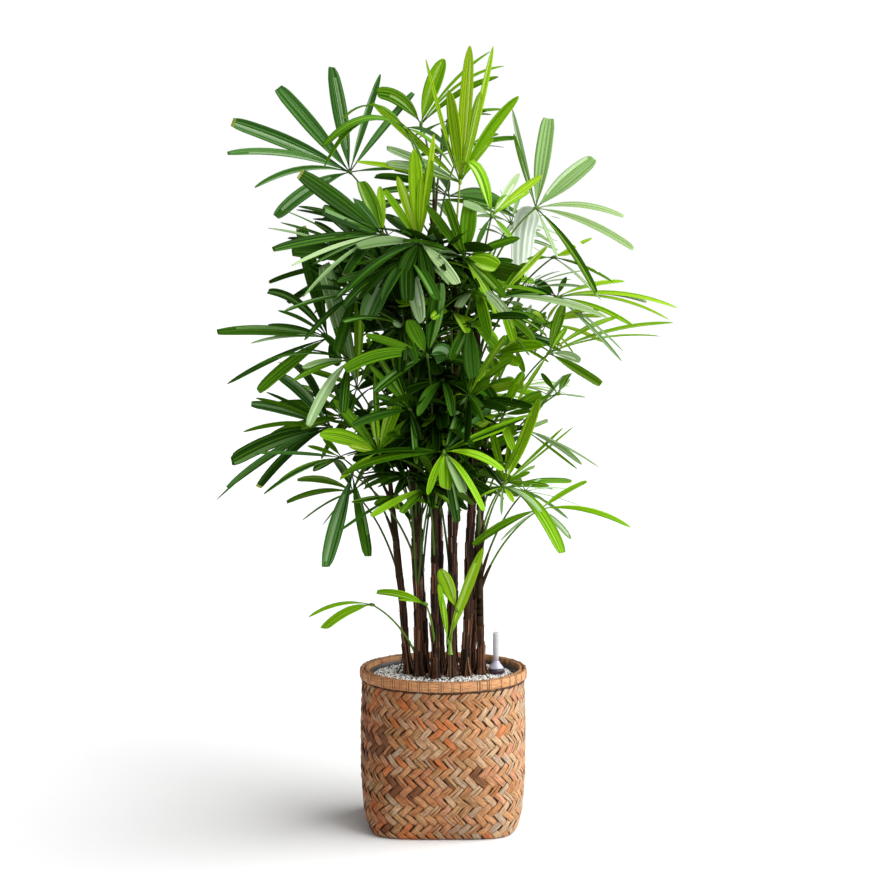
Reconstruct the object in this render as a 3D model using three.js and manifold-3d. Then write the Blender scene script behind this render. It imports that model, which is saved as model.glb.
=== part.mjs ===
// A potted lady palm: a clump of slender canes with fan-shaped fronds, growing in granules
// inside a plastic liner that stands in a woven basket.
// Millimetres, +Z up. The origin is the centre of the basket's flat underside, and -Y is the front.
import * as THREE from "three";
import { mergeVertices } from "three/addons/utils/BufferGeometryUtils.js";
import Module from "manifold-3d";

const wasm = await Module();
wasm.setup();

// ---- Driving dimensions -------------------------------------------------------------------

const clearance = 0.3; // between neighbouring solids
const up = new THREE.Vector3(0, 0, 1);

const basket = {
  wall: 8,
  floor: 8,
  sides: 32,
  // Height, half width, and squareness: the exponent of the superellipse that the section follows.
  sections: [
    { z: 0, half: 147, power: 4.6 },
    { z: 4, half: 153, power: 4.4 },
    { z: 14, half: 159, power: 4.1 },
    { z: 42, half: 167, power: 3.5 },
    { z: 110, half: 173.5, power: 2.7 },
    { z: 220, half: 174.5, power: 2.2 },
    { z: 312, half: 171.5, power: 2 },
  ],
};
const rim = {
  bottom: 312 + clearance,
  top: 335,
  outer: 176.5,
  inner: 160,
  outerBevel: [3, 5], // inwards and down from the outer edge
  innerBevel: [3, 4],
  footStep: 2, // how far the lower edge stays inside the band
  sides: 32,
};
const liner = { bottomRadius: 130, topRadius: 154, top: 325, wall: 3, sides: 24 };
const granules = { top: 318, sides: 24 };
const gauge = {
  x: 112,
  y: 12,
  baseRadius: 18,
  baseHeight: 11,
  neckRadius: 7,
  neckHeight: 27,
  tubeRadius: 6.2,
  top: 406,
  bevel: 3,
  sides: 12,
};
const ground = granules.top + clearance;

const caneShape = {
  sides: 7,
  stations: 8,
  crowding: 1.7, // draws the stations down to the flared foot
  footFlare: 1.6,
  flareHeight: 45,
  topShare: 0.8,
};
const sheathShape = { sides: 6, stations: 4, tipRadius: 2.5 };
const petioleShape = {
  sides: 3,
  stations: 4,
  baseRadius: 3.6,
  tipRadius: 2.4,
  bend: { out: 0.35, up: 0.7 }, // the arc's middle point, as shares of the reach and the rise
};
const hub = { radius: 10, top: 1.2, bottom: 4, space: 12 };
const leafletShape = {
  rootWidth: 3.2,
  rootShare: 0.6, // of the room that the neighbours leave on the hub
  rootDepth: 2,
  depth: 3, // from the blade's face to its keel
  narrow: 23, // a leaflet under this width has the fewer stations
  // Share of the length, and of the full width, at each station of a broad and of a narrow one.
  broadStations: [
    [0.32, 0.8],
    [0.66, 1],
    [1, 0.5],
  ],
  narrowStations: [
    [0.5, 1],
    [1, 0.45],
  ],
};

// Each cane: its foot, the top of its bare part, the tip of the sheath above that, and its radius.
const canes = [
  { foot: [-73, 5], tip: [-122, 0, 830], bare: 590, radius: 9 },
  { foot: [-52, -15], tip: [-66, -30, 960], bare: 690, radius: 9.5 },
  { foot: [-38, 22], tip: [-85, 40, 1230], bare: 950, radius: 9.5 },
  { foot: [-17, -40], tip: [-20, -50, 860], bare: 600, radius: 9 },
  { foot: [-8, 8], tip: [-20, 12, 1390], bare: 1000, radius: 11 },
  { foot: [16, -22], tip: [25, -30, 1230], bare: 930, radius: 10 },
  { foot: [20, 35], tip: [25, 70, 1200], bare: 980, radius: 10 },
  { foot: [47, -10], tip: [75, -15, 1180], bare: 1000, radius: 10 },
  { foot: [58, 22], tip: [95, 40, 960], bare: 730, radius: 9.5 },
  { foot: [79, 0], tip: [75, -20, 700], bare: 490, radius: 8.5 },
  { foot: [14, -64], tip: [14, -66, 400], bare: 372, radius: 6.5 },
];

// Each frond: the height where it leaves its cane, then how far its stalk reaches and rises, and
// the way it heads (0 is +X, 90 is the back, 180 is -X, 270 is the front). Then the way its fan
// points and the way the fan's upper face looks, each as heading and pitch, and its leaflets:
// angle from the fan's axis, length and width, with its own droop where that isn't the frond's.
const fronds = [
  // The left side, from the top.
  {
    cane: 3, at: 1120, heading: 179, reach: 117, rise: 258,
    axis: [180, 49], face: [270, 10], droop: 0.15,
    fan: [
      [79, 185, 30], [59, 200, 16], [38, 265, 18], [26, 270, 28], [0, 235, 30], [-31, 230, 30],
      [-58, 220, 16], [-78, 215, 14],
    ],
  },
  {
    cane: 3, at: 1000, heading: 236, reach: 91, rise: 248,
    axis: [190, 25], face: [270, 40], droop: 0.35,
    fan: [
      [75, 140, 26], [50, 225, 14], [35, 225, 14], [20, 230, 12], [5, 200, 20], [-22, 200, 30],
      [-50, 135, 28], [-70, 140, 22],
    ],
  },
  {
    cane: 3, at: 970, heading: 250, reach: 105, rise: 205,
    axis: [195, 15], face: [262, 50], droop: 0.5,
    fan: [
      [80, 150, 24], [48, 170, 28], [20, 220, 16], [0, 240, 18], [-22, 200, 22], [-48, 160, 26],
      [-80, 150, 26],
    ],
  },
  {
    cane: 2, at: 870, heading: 181, reach: 176, rise: 163,
    axis: [180, 15], face: [270, 25], droop: 0.25,
    fan: [
      [52, 205, 28], [41, 245, 20], [20, 170, 9], [6, 238, 28], [-14, 130, 10], [-25, 180, 24],
      [-56, 225, 34],
    ],
  },
  {
    cane: 2, at: 800, heading: 210, reach: 150, rise: 190,
    axis: [185, 25], face: [268, 45], droop: 0.4,
    fan: [
      [75, 150, 20], [45, 200, 18], [20, 180, 14], [-2, 170, 20], [-30, 160, 28], [-60, 170, 30],
    ],
  },
  {
    cane: 1, at: 760, heading: 218, reach: 81, rise: 170,
    axis: [190, 50], face: [265, 20], droop: 0.25,
    fan: [
      [70, 150, 14], [50, 180, 22], [33, 175, 18], [8, 190, 20], [-25, 262, 32], [-42, 232, 20],
      [-65, 150, 18],
    ],
  },
  {
    cane: 1, at: 680, heading: 181, reach: 130, rise: 165,
    axis: [180, 5], face: [265, 40], droop: 0.35,
    fan: [
      [48, 170, 24], [34, 230, 14], [26, 265, 13], [14, 200, 28], [-4, 160, 16], [-22, 150, 28],
      [-50, 140, 26],
    ],
  },
  {
    cane: 1, at: 600, heading: 220, reach: 142, rise: 188,
    axis: [185, 10], face: [268, 48], droop: 0.5,
    fan: [
      [75, 160, 20], [45, 180, 22], [20, 195, 24], [0, 190, 18], [-30, 160, 18], [-65, 130, 18],
    ],
  },
  {
    cane: 2, at: 560, heading: 192, reach: 136, rise: 190,
    axis: [225, -65], face: [258, 20], droop: 0.15,
    fan: [[48, 150, 18], [20, 160, 24], [-4, 220, 40], [-32, 160, 14]],
  },
  {
    cane: 2, at: 350, heading: 199, reach: 102, rise: 125,
    axis: [190, 12], face: [270, 60], droop: 0.6,
    fan: [[-6, 145, 22], [16, 132, 22]],
  },
  {
    cane: 3, at: 900, heading: 221, reach: 150, rise: 225,
    axis: [190, 20], face: [266, 40], droop: 0.4,
    fan: [
      [85, 150, 22], [55, 170, 18], [28, 180, 26], [2, 175, 16], [-25, 160, 28], [-55, 170, 30],
    ],
  },
  // The middle.
  {
    cane: 5, at: 1230, heading: 233, reach: 100, rise: 234,
    axis: [225, 14], face: [264, 34], droop: 0.6,
    fan: [
      [90, 150, 14], [45, 170, 16], [12, 190, 22], [-20, 225, 16], [-36, 210, 26], [-52, 160, 24],
      [-82, 140, 16],
    ],
  },
  {
    cane: 5, at: 1330, heading: 132, reach: 41, rise: 148,
    axis: [0, 72], face: [270, 5], droop: 0.15,
    fan: [
      [73, 118, 28], [35, 140, 18], [2, 150, 34], [-25, 212, 9], [-35, 216, 9], [-44, 190, 18],
    ],
  },
  {
    cane: 6, at: 1180, heading: 62, reach: 22, rise: 175,
    axis: [0, 80], face: [270, 0], droop: 0.05,
    fan: [
      [24, 150, 18], [13, 220, 24], [4, 285, 30], [-7, 298, 18], [-22, 225, 20], [-36, 130, 14],
    ],
  },
  {
    cane: 5, at: 1010, heading: 240, reach: 67, rise: 220,
    axis: [180, 86], face: [270, 0], droop: 0.05,
    fan: [[8, 200, 26], [-1, 195, 28], [-10, 180, 22]],
  },
  {
    cane: 5, at: 1040, heading: 255, reach: 118, rise: 190,
    axis: [255, -22], face: [270, 48], droop: 0.6,
    fan: [
      [110, 120, 16], [75, 130, 22], [50, 150, 16], [8, 150, 24], [-30, 175, 38], [-70, 150, 18],
      [-100, 130, 16],
    ],
  },
  {
    cane: 5, at: 960, heading: 247, reach: 140, rise: 241,
    axis: [270, -15], face: [270, 50], droop: 0.5,
    fan: [
      [120, 120, 16], [85, 150, 18], [45, 190, 18], [22, 150, 26], [-25, 150, 26], [-60, 150, 30],
      [-85, 150, 26],
    ],
  },
  {
    cane: 6, at: 980, heading: 284, reach: 85, rise: 219,
    axis: [20, 70], face: [270, 15], droop: 0.3,
    fan: [
      [85, 130, 20], [50, 130, 22], [12, 115, 38], [-40, 130, 22], [-75, 150, 20],
      [-110, 120, 18],
    ],
  },
  {
    cane: 6, at: 940, heading: 310, reach: 70, rise: 200,
    axis: [300, -10], face: [270, 50], droop: 0.5,
    fan: [
      [75, 160, 20], [40, 160, 20], [0, 140, 22], [-40, 130, 30], [-80, 150, 22], [-115, 120, 18],
    ],
  },
  {
    cane: 4, at: 800, heading: 263, reach: 102, rise: 201,
    axis: [180, 70], face: [270, 30], droop: 0.8,
    fan: [
      [85, 200, 16], [62, 300, 22], [15, 120, 26], [-30, 160, 36], [-75, 150, 22],
      [-100, 140, 16],
    ],
  },
  {
    cane: 4, at: 720, heading: 235, reach: 85, rise: 170,
    axis: [215, 30], face: [268, 40], droop: 0.35,
    fan: [
      [85, 150, 20], [50, 150, 22], [20, 160, 18], [-15, 150, 22], [-50, 170, 28], [-85, 160, 26],
    ],
  },
  {
    cane: 2, at: 640, heading: 233, reach: 123, rise: 163,
    axis: [190, 45], face: [270, 25], droop: 0.3,
    fan: [
      [105, 120, 16], [75, 130, 18], [40, 150, 34], [14, 160, 14], [0, 130, 18], [-18, 120, 16],
      [-50, 120, 36], [-80, 120, 20],
    ],
  },
  {
    cane: 4, at: 640, heading: 279, reach: 126, rise: 168,
    axis: [270, -38], face: [270, 52], droop: 0.3,
    fan: [
      [150, 160, 32], [134, 190, 10], [112, 200, 9], [73, 145, 22], [46, 170, 20], [28, 160, 26],
      [4, 140, 24], [-22, 150, 22], [-48, 140, 20], [-77, 175, 34],
    ],
  },
  {
    cane: 2, at: 600, heading: 240, reach: 80, rise: 110,
    axis: [205, -10], face: [262, 42], droop: 0.4,
    fan: [[75, 120, 20], [40, 130, 18], [10, 130, 22], [-20, 140, 20], [-55, 130, 16]],
  },
  {
    cane: 4, at: 380, heading: 252, reach: 62, rise: 105,
    axis: [180, 15], face: [270, 60], droop: 0.3,
    fan: [[25, 80, 12], [-2, 112, 22]],
  },
  {
    cane: 2, at: 860, heading: 259, reach: 104, rise: 205,
    axis: [250, 5], face: [268, 38], droop: 0.5,
    fan: [
      [100, 140, 24], [65, 160, 20], [32, 170, 24], [2, 150, 30], [-30, 160, 24], [-62, 160, 30],
      [-98, 140, 26],
    ],
  },
  {
    cane: 6, at: 860, heading: 285, reach: 128, rise: 210,
    axis: [290, 0], face: [270, 36], droop: 0.5,
    fan: [
      [100, 140, 20], [66, 160, 26], [34, 150, 22], [4, 150, 24], [-28, 160, 28], [-62, 150, 22],
      [-98, 150, 26],
    ],
  },
  {
    cane: 6, at: 720, heading: 285, reach: 118, rise: 200,
    axis: [300, 20], face: [268, 30], droop: 0.4,
    fan: [
      [95, 150, 24], [62, 170, 28], [30, 150, 22], [0, 140, 22], [-32, 150, 20], [-68, 160, 24],
    ],
  },
  {
    cane: 4, at: 560, heading: 262, reach: 96, rise: 172,
    axis: [262, -30], face: [270, 45], droop: 0.4,
    fan: [
      [80, 130, 20], [45, 125, 18], [12, 120, 24], [-20, 120, 20], [-52, 130, 18], [-85, 130, 16],
    ],
  },
  // The young shoot.
  {
    cane: 11, at: 385, heading: 200, reach: 5, rise: 14,
    axis: [0, 88], face: [270, 0], droop: 0.05,
    fan: [[10, 165, 26], [-20, 220, 26]],
  },
  // The right side, from the top.
  {
    cane: 8, at: 1100, heading: 357, reach: 120, rise: 202,
    axis: [0, 5], face: [270, 40], droop: 0.45,
    fan: [
      [112, 215, 12], [104, 270, 12], [87, 270, 28], [46, 195, 32], [2, 190, 18], [-14, 220, 18],
      [-32, 220, 24], [-46, 250, 16], [-66, 150, 14], [-100, 150, 22],
    ],
  },
  {
    cane: 8, at: 1080, heading: 293, reach: 71, rise: 205,
    axis: [200, 62], face: [300, 20], droop: 1.1,
    fan: [
      [75, 130, 18], [40, 150, 22], [0, 185, 36], [-55, 225, 44, 2.2], [-85, 150, 18],
    ],
  },
  {
    cane: 9, at: 860, heading: 350, reach: 151, rise: 257,
    axis: [355, 10], face: [285, 46], droop: 0.7,
    fan: [
      [140, 130, 28], [100, 150, 18], [58, 180, 16], [24, 215, 12], [5, 262, 16], [-10, 255, 14],
      [-32, 220, 16], [-65, 150, 16],
    ],
  },
  {
    cane: 9, at: 800, heading: 356, reach: 65, rise: 218,
    axis: [10, 45], face: [280, 20], droop: 0.25,
    fan: [
      [90, 120, 18], [55, 140, 22], [15, 130, 22], [-10, 140, 20], [-35, 140, 14], [-75, 160, 16],
    ],
  },
  {
    cane: 9, at: 740, heading: 330, reach: 158, rise: 262,
    axis: [345, 18], face: [282, 35], droop: 0.4,
    fan: [
      [95, 120, 16], [62, 125, 30], [26, 190, 28], [8, 268, 12], [-8, 200, 12], [-30, 165, 20],
      [-60, 150, 18], [-105, 135, 18],
    ],
  },
  {
    cane: 8, at: 930, heading: 305, reach: 85, rise: 190,
    axis: [0, 20], face: [276, 50], droop: 0.5,
    fan: [
      [120, 120, 18], [85, 140, 26], [50, 150, 22], [20, 180, 16], [-8, 190, 20], [-35, 160, 18],
      [-75, 140, 18],
    ],
  },
  {
    cane: 8, at: 960, heading: 10, reach: 165, rise: 240,
    axis: [5, 15], face: [285, 45], droop: 0.55,
    fan: [
      [95, 150, 20], [62, 160, 22], [30, 170, 20], [2, 180, 18], [-28, 180, 16], [-62, 150, 18],
    ],
  },
  {
    cane: 9, at: 700, heading: 345, reach: 165, rise: 215,
    axis: [350, 10], face: [280, 42], droop: 0.5,
    fan: [
      [98, 140, 22], [64, 150, 24], [32, 170, 20], [4, 170, 14], [-24, 160, 16], [-58, 140, 20],
    ],
  },
  {
    cane: 8, at: 760, heading: 320, reach: 74, rise: 114,
    axis: [350, 35], face: [280, 30], droop: 0.25,
    fan: [
      [95, 130, 18], [60, 130, 18], [20, 150, 18], [0, 160, 24], [-40, 140, 16], [-80, 130, 16],
    ],
  },
  {
    cane: 9, at: 640, heading: 330, reach: 110, rise: 200,
    axis: [340, 15], face: [285, 45], droop: 0.45,
    fan: [
      [85, 130, 20], [50, 160, 20], [20, 200, 12], [-8, 190, 16], [-38, 150, 18], [-75, 140, 18],
    ],
  },
  {
    cane: 10, at: 600, heading: 312, reach: 77, rise: 134,
    axis: [355, 30], face: [275, 40], droop: 0.2,
    fan: [
      [75, 130, 16], [40, 160, 28], [10, 145, 9], [3, 165, 9], [-24, 158, 9], [-32, 150, 9],
      [-60, 120, 14],
    ],
  },
  {
    cane: 10, at: 560, heading: 298, reach: 100, rise: 169,
    axis: [320, 0], face: [295, 55], droop: 0.6,
    fan: [[85, 130, 14], [40, 150, 16], [0, 190, 30], [-45, 150, 18], [-95, 140, 16]],
  },
  {
    cane: 10, at: 500, heading: 350, reach: 128, rise: 175,
    axis: [345, 4], face: [275, 40], droop: 0.55,
    fan: [
      [160, 165, 16], [90, 120, 14], [42, 140, 24], [2, 205, 18], [-30, 125, 20], [-75, 120, 14],
    ],
  },
];

// The fronds at the back and the sides follow one rule: cane, height and heading are chosen, and
// the rest is drawn between a low and a high value.
const frondRule = {
  leaflets: 7,
  blade: [170, 235], // the length of its middle leaflet
  width: [18, 26],
  spread: [80, 105], // from the fan's axis to its outermost leaflet
  outerShorter: 0.28,
  outerNarrower: 0.35,
  lengthVaries: [0.9, 1.06],
  angleVaries: [-5, 5],
  widthVaries: [0.7, 1.25],
  reach: [100, 165],
  rise: [150, 225],
  axisTurn: [-15, 15],
  axisPitch: [0, 35],
  faceTurn: [-40, 40],
  facePitch: [45, 75],
  droop: [0.35, 0.6],
};
const backFronds = [
  [7, 1120, 142], [7, 1060, 35], [7, 1000, 100], [5, 1270, 75], [3, 1050, 120], [8, 1090, 60], [9, 820, 70],
  [3, 960, 150], [7, 900, 70], [6, 950, 20], [5, 880, 110], [9, 700, 50], [7, 820, 125], [3, 800, 105],
  [2, 700, 165], [9, 640, 85], [7, 720, 50], [1, 520, 150], [5, 700, 90], [7, 620, 115], [3, 660, 140],
  [10, 520, 40], [9, 540, 60], [5, 560, 100], [8, 860, 10], [6, 1150, 95], [3, 1160, 70], [5, 1210, 60],
];

// ---- Seeded numbers -------------------------------------------------------------------------

// Park-Miller numbers between a low and a high value, the same on every run.
function seeded(seed) {
  let state = (seed * 7919 + 12345) % 2147483647;
  return (low, high) => {
    state = (state * 16807) % 2147483647;
    return low + ((high - low) * state) / 2147483647;
  };
}

// ---- Solids ---------------------------------------------------------------------------------

const radians = THREE.MathUtils.degToRad;

// A unit vector from a heading and a pitch in degrees.
function direction(heading, pitch) {
  const flat = Math.cos(radians(pitch));
  return new THREE.Vector3(
    flat * Math.cos(radians(heading)),
    flat * Math.sin(radians(heading)),
    Math.sin(radians(pitch)),
  );
}

// A geometry from points and the indices of its triangles.
function indexed(points, index) {
  const position = points.flatMap((p) => [p.x, p.y, p.z]);
  const geometry = new THREE.BufferGeometry();
  geometry.setAttribute("position", new THREE.Float32BufferAttribute(position, 3));
  geometry.setIndex(index);
  return geometry;
}

// A closed skin over rings of points, each ring counter-clockwise about the way of travel.
function loft(rings) {
  const count = rings[0].length;
  const index = [];
  for (let i = 0; i + 1 < rings.length; i++)
    for (let j = 0; j < count; j++) {
      const a = i * count + j;
      const b = i * count + ((j + 1) % count);
      index.push(a, b, b + count, a, b + count, a + count);
    }
  const last = (rings.length - 1) * count;
  for (let j = 1; j + 1 < count; j++) {
    index.push(0, j + 1, j);
    index.push(last, last + j, last + j + 1);
  }
  return indexed(rings.flat(), index);
}

// A ring of points of the given radius about a centre, square to the way of travel.
function ring(centre, travel, radius, sides) {
  const side = new THREE.Vector3(1, 0, 0);
  if (Math.abs(travel.x) > 0.8) side.set(0, 1, 0);
  const v = travel.clone().cross(side).normalize();
  const u = v.clone().cross(travel);
  return Array.from({ length: sides }, (_, i) => {
    const angle = (i / sides) * 2 * Math.PI;
    return centre
      .clone()
      .addScaledVector(u, radius * Math.cos(angle))
      .addScaledVector(v, radius * Math.sin(angle));
  });
}

// A turned piece about the vertical axis, from a profile of [radius, height].
function turned(profile, sides) {
  const points = profile.map(([radius, height]) => new THREE.Vector2(radius, height));
  return new THREE.LatheGeometry(points, sides).rotateX(Math.PI / 2);
}

// The manifold solid of a three.js geometry.
function solidOf(geometry) {
  const bare = geometry.clone();
  bare.deleteAttribute("normal");
  bare.deleteAttribute("uv");
  const merged = mergeVertices(bare, 1e-4);
  const mesh = new wasm.Mesh({
    numProp: 3,
    vertProperties: merged.attributes.position.array,
    triVerts: new Uint32Array(merged.index.array),
  });
  return new wasm.Manifold(mesh);
}

// The three.js geometry of a manifold solid.
function geometryOf(solid) {
  const mesh = solid.getMesh();
  const geometry = new THREE.BufferGeometry();
  geometry.setAttribute("position", new THREE.BufferAttribute(mesh.vertProperties, 3));
  geometry.setIndex(new THREE.BufferAttribute(mesh.triVerts, 1));
  geometry.computeVertexNormals();
  return geometry;
}

// ---- Pot ------------------------------------------------------------------------------------

// The basket's section at one height: |x|^power + |y|^power = half^power.
function basketRing(z, half, power) {
  return Array.from({ length: basket.sides }, (_, i) => {
    const angle = ((i + 0.5) / basket.sides) * 2 * Math.PI;
    const c = Math.cos(angle);
    const s = Math.sin(angle);
    const r = half / (Math.abs(c) ** power + Math.abs(s) ** power) ** (1 / power);
    return new THREE.Vector3(r * c, r * s, z);
  });
}

function basketShell() {
  const outer = basket.sections.map(({ z, half, power }) => basketRing(z, half, power));
  const inner = basket.sections
    .filter(({ z }) => z > basket.floor)
    .reverse()
    .map(({ z, half, power }) => basketRing(z, half - basket.wall, power));
  const lowest = basket.sections[2];
  inner.push(basketRing(basket.floor, lowest.half - 2 * basket.wall, lowest.power));
  return loft([...outer, ...inner]);
}

function rimHoop() {
  const { bottom, top, outer, inner, footStep, sides } = rim;
  const [outerIn, outerDown] = rim.outerBevel;
  const [innerIn, innerDown] = rim.innerBevel;
  const profile = [
    [inner + footStep / 2, bottom],
    [outer - footStep, bottom],
    [outer, bottom + outerDown],
    [outer, top - outerDown],
    [outer - outerIn, top],
    [inner + innerIn, top],
    [inner, top - innerDown],
    [inner + footStep / 2, bottom],
  ];
  return turned(profile, sides);
}

const linerFoot = basket.floor + clearance;

// The liner's outer radius at one height.
function linerRadius(z) {
  const share = (z - linerFoot) / (liner.top - linerFoot);
  return liner.bottomRadius + (liner.topRadius - liner.bottomRadius) * share;
}

function linerPot() {
  const { bottomRadius, topRadius, top, wall, sides } = liner;
  const inside = linerFoot + wall;
  const profile = [
    [0, linerFoot],
    [bottomRadius, linerFoot],
    [topRadius, top],
    [topRadius - wall, top],
    [linerRadius(inside) - wall, inside],
    [0, inside],
  ];
  return turned(profile, sides);
}

function granuleFill() {
  const bottom = linerFoot + liner.wall + clearance;
  const inset = liner.wall + clearance;
  const profile = [
    [0, bottom],
    [linerRadius(bottom) - inset, bottom],
    [linerRadius(granules.top) - inset, granules.top],
    [0, granules.top],
  ];
  return turned(profile, granules.sides);
}

function gaugeBase() {
  const { baseRadius, baseHeight, neckRadius, neckHeight, bevel, sides } = gauge;
  const profile = [
    [0, ground],
    [baseRadius, ground],
    [baseRadius, ground + baseHeight - bevel],
    [baseRadius - bevel, ground + baseHeight],
    [neckRadius, ground + neckHeight],
    [0, ground + neckHeight],
  ];
  return turned(profile, sides);
}

function gaugeTube() {
  const bottom = ground + gauge.neckHeight + clearance;
  const { tubeRadius, top, bevel, sides } = gauge;
  const profile = [
    [0, bottom],
    [tubeRadius, bottom],
    [tubeRadius, top - bevel],
    [tubeRadius - bevel, top],
    [0, top],
  ];
  return turned(profile, sides);
}

// ---- Canes ----------------------------------------------------------------------------------

// The cane's centre at a height: a straight lean from foot to tip.
function canePoint(cane, z) {
  const share = (z - ground) / (cane.tip[2] - ground);
  return new THREE.Vector3(
    cane.foot[0] + (cane.tip[0] - cane.foot[0]) * share,
    cane.foot[1] + (cane.tip[1] - cane.foot[1]) * share,
    z,
  );
}

// The cane's radius at a height: a flared foot, then an even taper.
function caneRadius(cane, z) {
  const share = (z - ground) / (cane.bare - ground);
  const flare = (caneShape.footFlare - 1) * Math.exp((-3 * (z - ground)) / caneShape.flareHeight);
  return cane.radius * (1 + flare - (1 - caneShape.topShare) * share);
}

// The bare cane, or the same cane a little larger all round.
function caneLoft(cane, grown = 0) {
  const rings = [];
  for (let i = 0; i < caneShape.stations; i++) {
    const share = (i / (caneShape.stations - 1)) ** caneShape.crowding;
    const z = ground + (cane.bare - ground) * share;
    const end = i === 0 ? -grown : i === caneShape.stations - 1 ? grown : 0;
    const centre = canePoint(cane, z);
    centre.z += end;
    rings.push(ring(centre, up, caneRadius(cane, z) + grown, caneShape.sides));
  }
  return loft(rings);
}

// The sheath above the bare cane, which narrows to the tip.
function sheathLoft(cane) {
  const rings = [];
  const start = cane.bare + clearance;
  for (let i = 0; i < sheathShape.stations; i++) {
    const share = i / (sheathShape.stations - 1);
    const z = start + (cane.tip[2] - start) * share;
    const radius = caneRadius(cane, cane.bare) * (1 - share) + sheathShape.tipRadius * share;
    rings.push(ring(canePoint(cane, z), up, radius, sheathShape.sides));
  }
  return loft(rings);
}

// ---- Fronds ---------------------------------------------------------------------------------

// The stalk's centre: an arc that starts up the cane and bows out to the hub.
function stalkCurve(frond, cane, bow) {
  const start = canePoint(cane, frond.at);
  const out = direction(frond.heading, 0);
  const side = direction(frond.heading + 90, 0);
  const middle = start
    .clone()
    .addScaledVector(out, petioleShape.bend.out * frond.reach)
    .addScaledVector(up, petioleShape.bend.up * frond.rise)
    .addScaledVector(side, bow);
  const end = start.clone().addScaledVector(out, frond.reach).addScaledVector(up, frond.rise);
  return new THREE.QuadraticBezierCurve3(start, middle, end);
}

function stalkLoft(curve, grown = 0) {
  const rings = [];
  for (let i = 0; i < petioleShape.stations; i++) {
    const share = i / (petioleShape.stations - 1);
    const radius =
      petioleShape.baseRadius + (petioleShape.tipRadius - petioleShape.baseRadius) * share + grown;
    rings.push(ring(curve.getPoint(share), curve.getTangent(share), radius, petioleShape.sides));
  }
  return loft(rings);
}

// The fan's own frame: its axis, the normal of its upper face, and the way across.
function fanFrame(frond) {
  const axis = direction(...frond.axis);
  const face = direction(...frond.face);
  const normal = face.addScaledVector(axis, -face.dot(axis)).normalize();
  return { axis, normal, across: normal.clone().cross(axis) };
}

// One leaflet: a shallow V-shaped blade of three-point rings, right edge, keel and left edge,
// that leaves the hub along the fan and droops.
function leafletRings(centre, frond, leaflet, grown = 0) {
  const { angle, length, width, droop, lift, root } = leaflet;
  const { axis, normal, across } = fanFrame(frond);
  const ahead = axis
    .multiplyScalar(Math.cos(radians(angle)))
    .addScaledVector(across, Math.sin(radians(angle)))
    .addScaledVector(normal, lift)
    .normalize();
  const side = ahead.clone().cross(normal).normalize();
  const point = centre.clone().addScaledVector(ahead, hub.radius);
  const { narrow, narrowStations, broadStations } = leafletShape;
  const stations = width < narrow ? narrowStations : broadStations;
  let previous = 0;
  return [[0, 0], ...stations].map(([share, widthShare]) => {
    const travel = ahead.clone().addScaledVector(up, (-droop * (share + previous)) / 2).normalize();
    point.addScaledVector(travel, (length - hub.radius) * (share - previous));
    previous = share;
    const heading = ahead.clone().addScaledVector(up, -droop * share).normalize();
    const w = side.clone().addScaledVector(heading, -side.dot(heading)).normalize();
    const n = w.clone().cross(heading);
    const half = Math.max(root, width * widthShare) / 2 + 2 * grown;
    const depth = share === 0 ? leafletShape.rootDepth : leafletShape.depth;
    const end = share === 1 ? grown : 0;
    const middle = point.clone().addScaledVector(heading, end).addScaledVector(n, grown);
    return [
      middle.clone().addScaledVector(w, half),
      middle.clone().addScaledVector(n, -depth - 3 * grown),
      middle.clone().addScaledVector(w, -half),
    ];
  });
}

// The blade of a frond as one skin: a flat hub whose rim the leaflets grow from, in order of
// their angle, with a heel on the side where there are none.
function bladeGeometry(centre, frond, leaflets) {
  const { axis, normal, across } = fanFrame(frond);
  const sorted = [...leaflets].sort((a, b) => a.angle - b.angle);
  const middle = (sorted[0].angle + sorted[sorted.length - 1].angle) / 2;
  const heel = centre
    .clone()
    .addScaledVector(axis, -hub.radius * Math.cos(radians(middle)))
    .addScaledVector(across, -hub.radius * Math.sin(radians(middle)));
  const points = [
    centre.clone().addScaledVector(normal, hub.top),
    centre.clone().addScaledVector(normal, -hub.bottom),
    heel,
  ];
  const index = [];
  let behind = 2;
  for (const leaflet of sorted) {
    const rings = leafletRings(centre, frond, leaflet);
    const first = points.length;
    points.push(...rings.flat());
    const [right, keel, left] = [first, first + 1, first + 2];
    index.push(0, right, left, 1, keel, right, 1, left, keel);
    index.push(0, behind, right, 1, right, behind);
    behind = left;
    for (let i = 0; i + 1 < rings.length; i++)
      for (let j = 0; j < 3; j++) {
        const a = first + 3 * i + j;
        const b = first + 3 * i + ((j + 1) % 3);
        index.push(a, b, b + 3, a, b + 3, a + 3);
      }
    const last = first + 3 * (rings.length - 1);
    index.push(last, last + 1, last + 2);
  }
  index.push(0, behind, 2, 1, 2, behind);
  return indexed(points, index);
}

// A frond that follows the rule: an arching stalk and an even fan, whose outer leaflets are
// shorter and narrower.
function ruledFrond([cane, at, heading], index) {
  const rule = frondRule;
  const between = seeded(index + 1);
  const blade = between(...rule.blade);
  const width = between(...rule.width);
  const spread = between(...rule.spread);
  const fan = Array.from({ length: rule.leaflets }, (_, i) => {
    const u = (2 * i) / (rule.leaflets - 1) - 1;
    const length = blade * (1 - rule.outerShorter * u * u) * between(...rule.lengthVaries);
    const angle = spread * u + between(...rule.angleVaries);
    return [angle, length, width * (1 - rule.outerNarrower * u * u) * between(...rule.widthVaries)];
  });
  return {
    cane,
    at,
    heading,
    reach: between(...rule.reach),
    rise: between(...rule.rise),
    axis: [heading + between(...rule.axisTurn), between(...rule.axisPitch)],
    face: [heading + between(...rule.faceTurn), between(...rule.facePitch)],
    droop: between(...rule.droop),
    fan,
  };
}

// ---- Assembly -------------------------------------------------------------------------------

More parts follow.
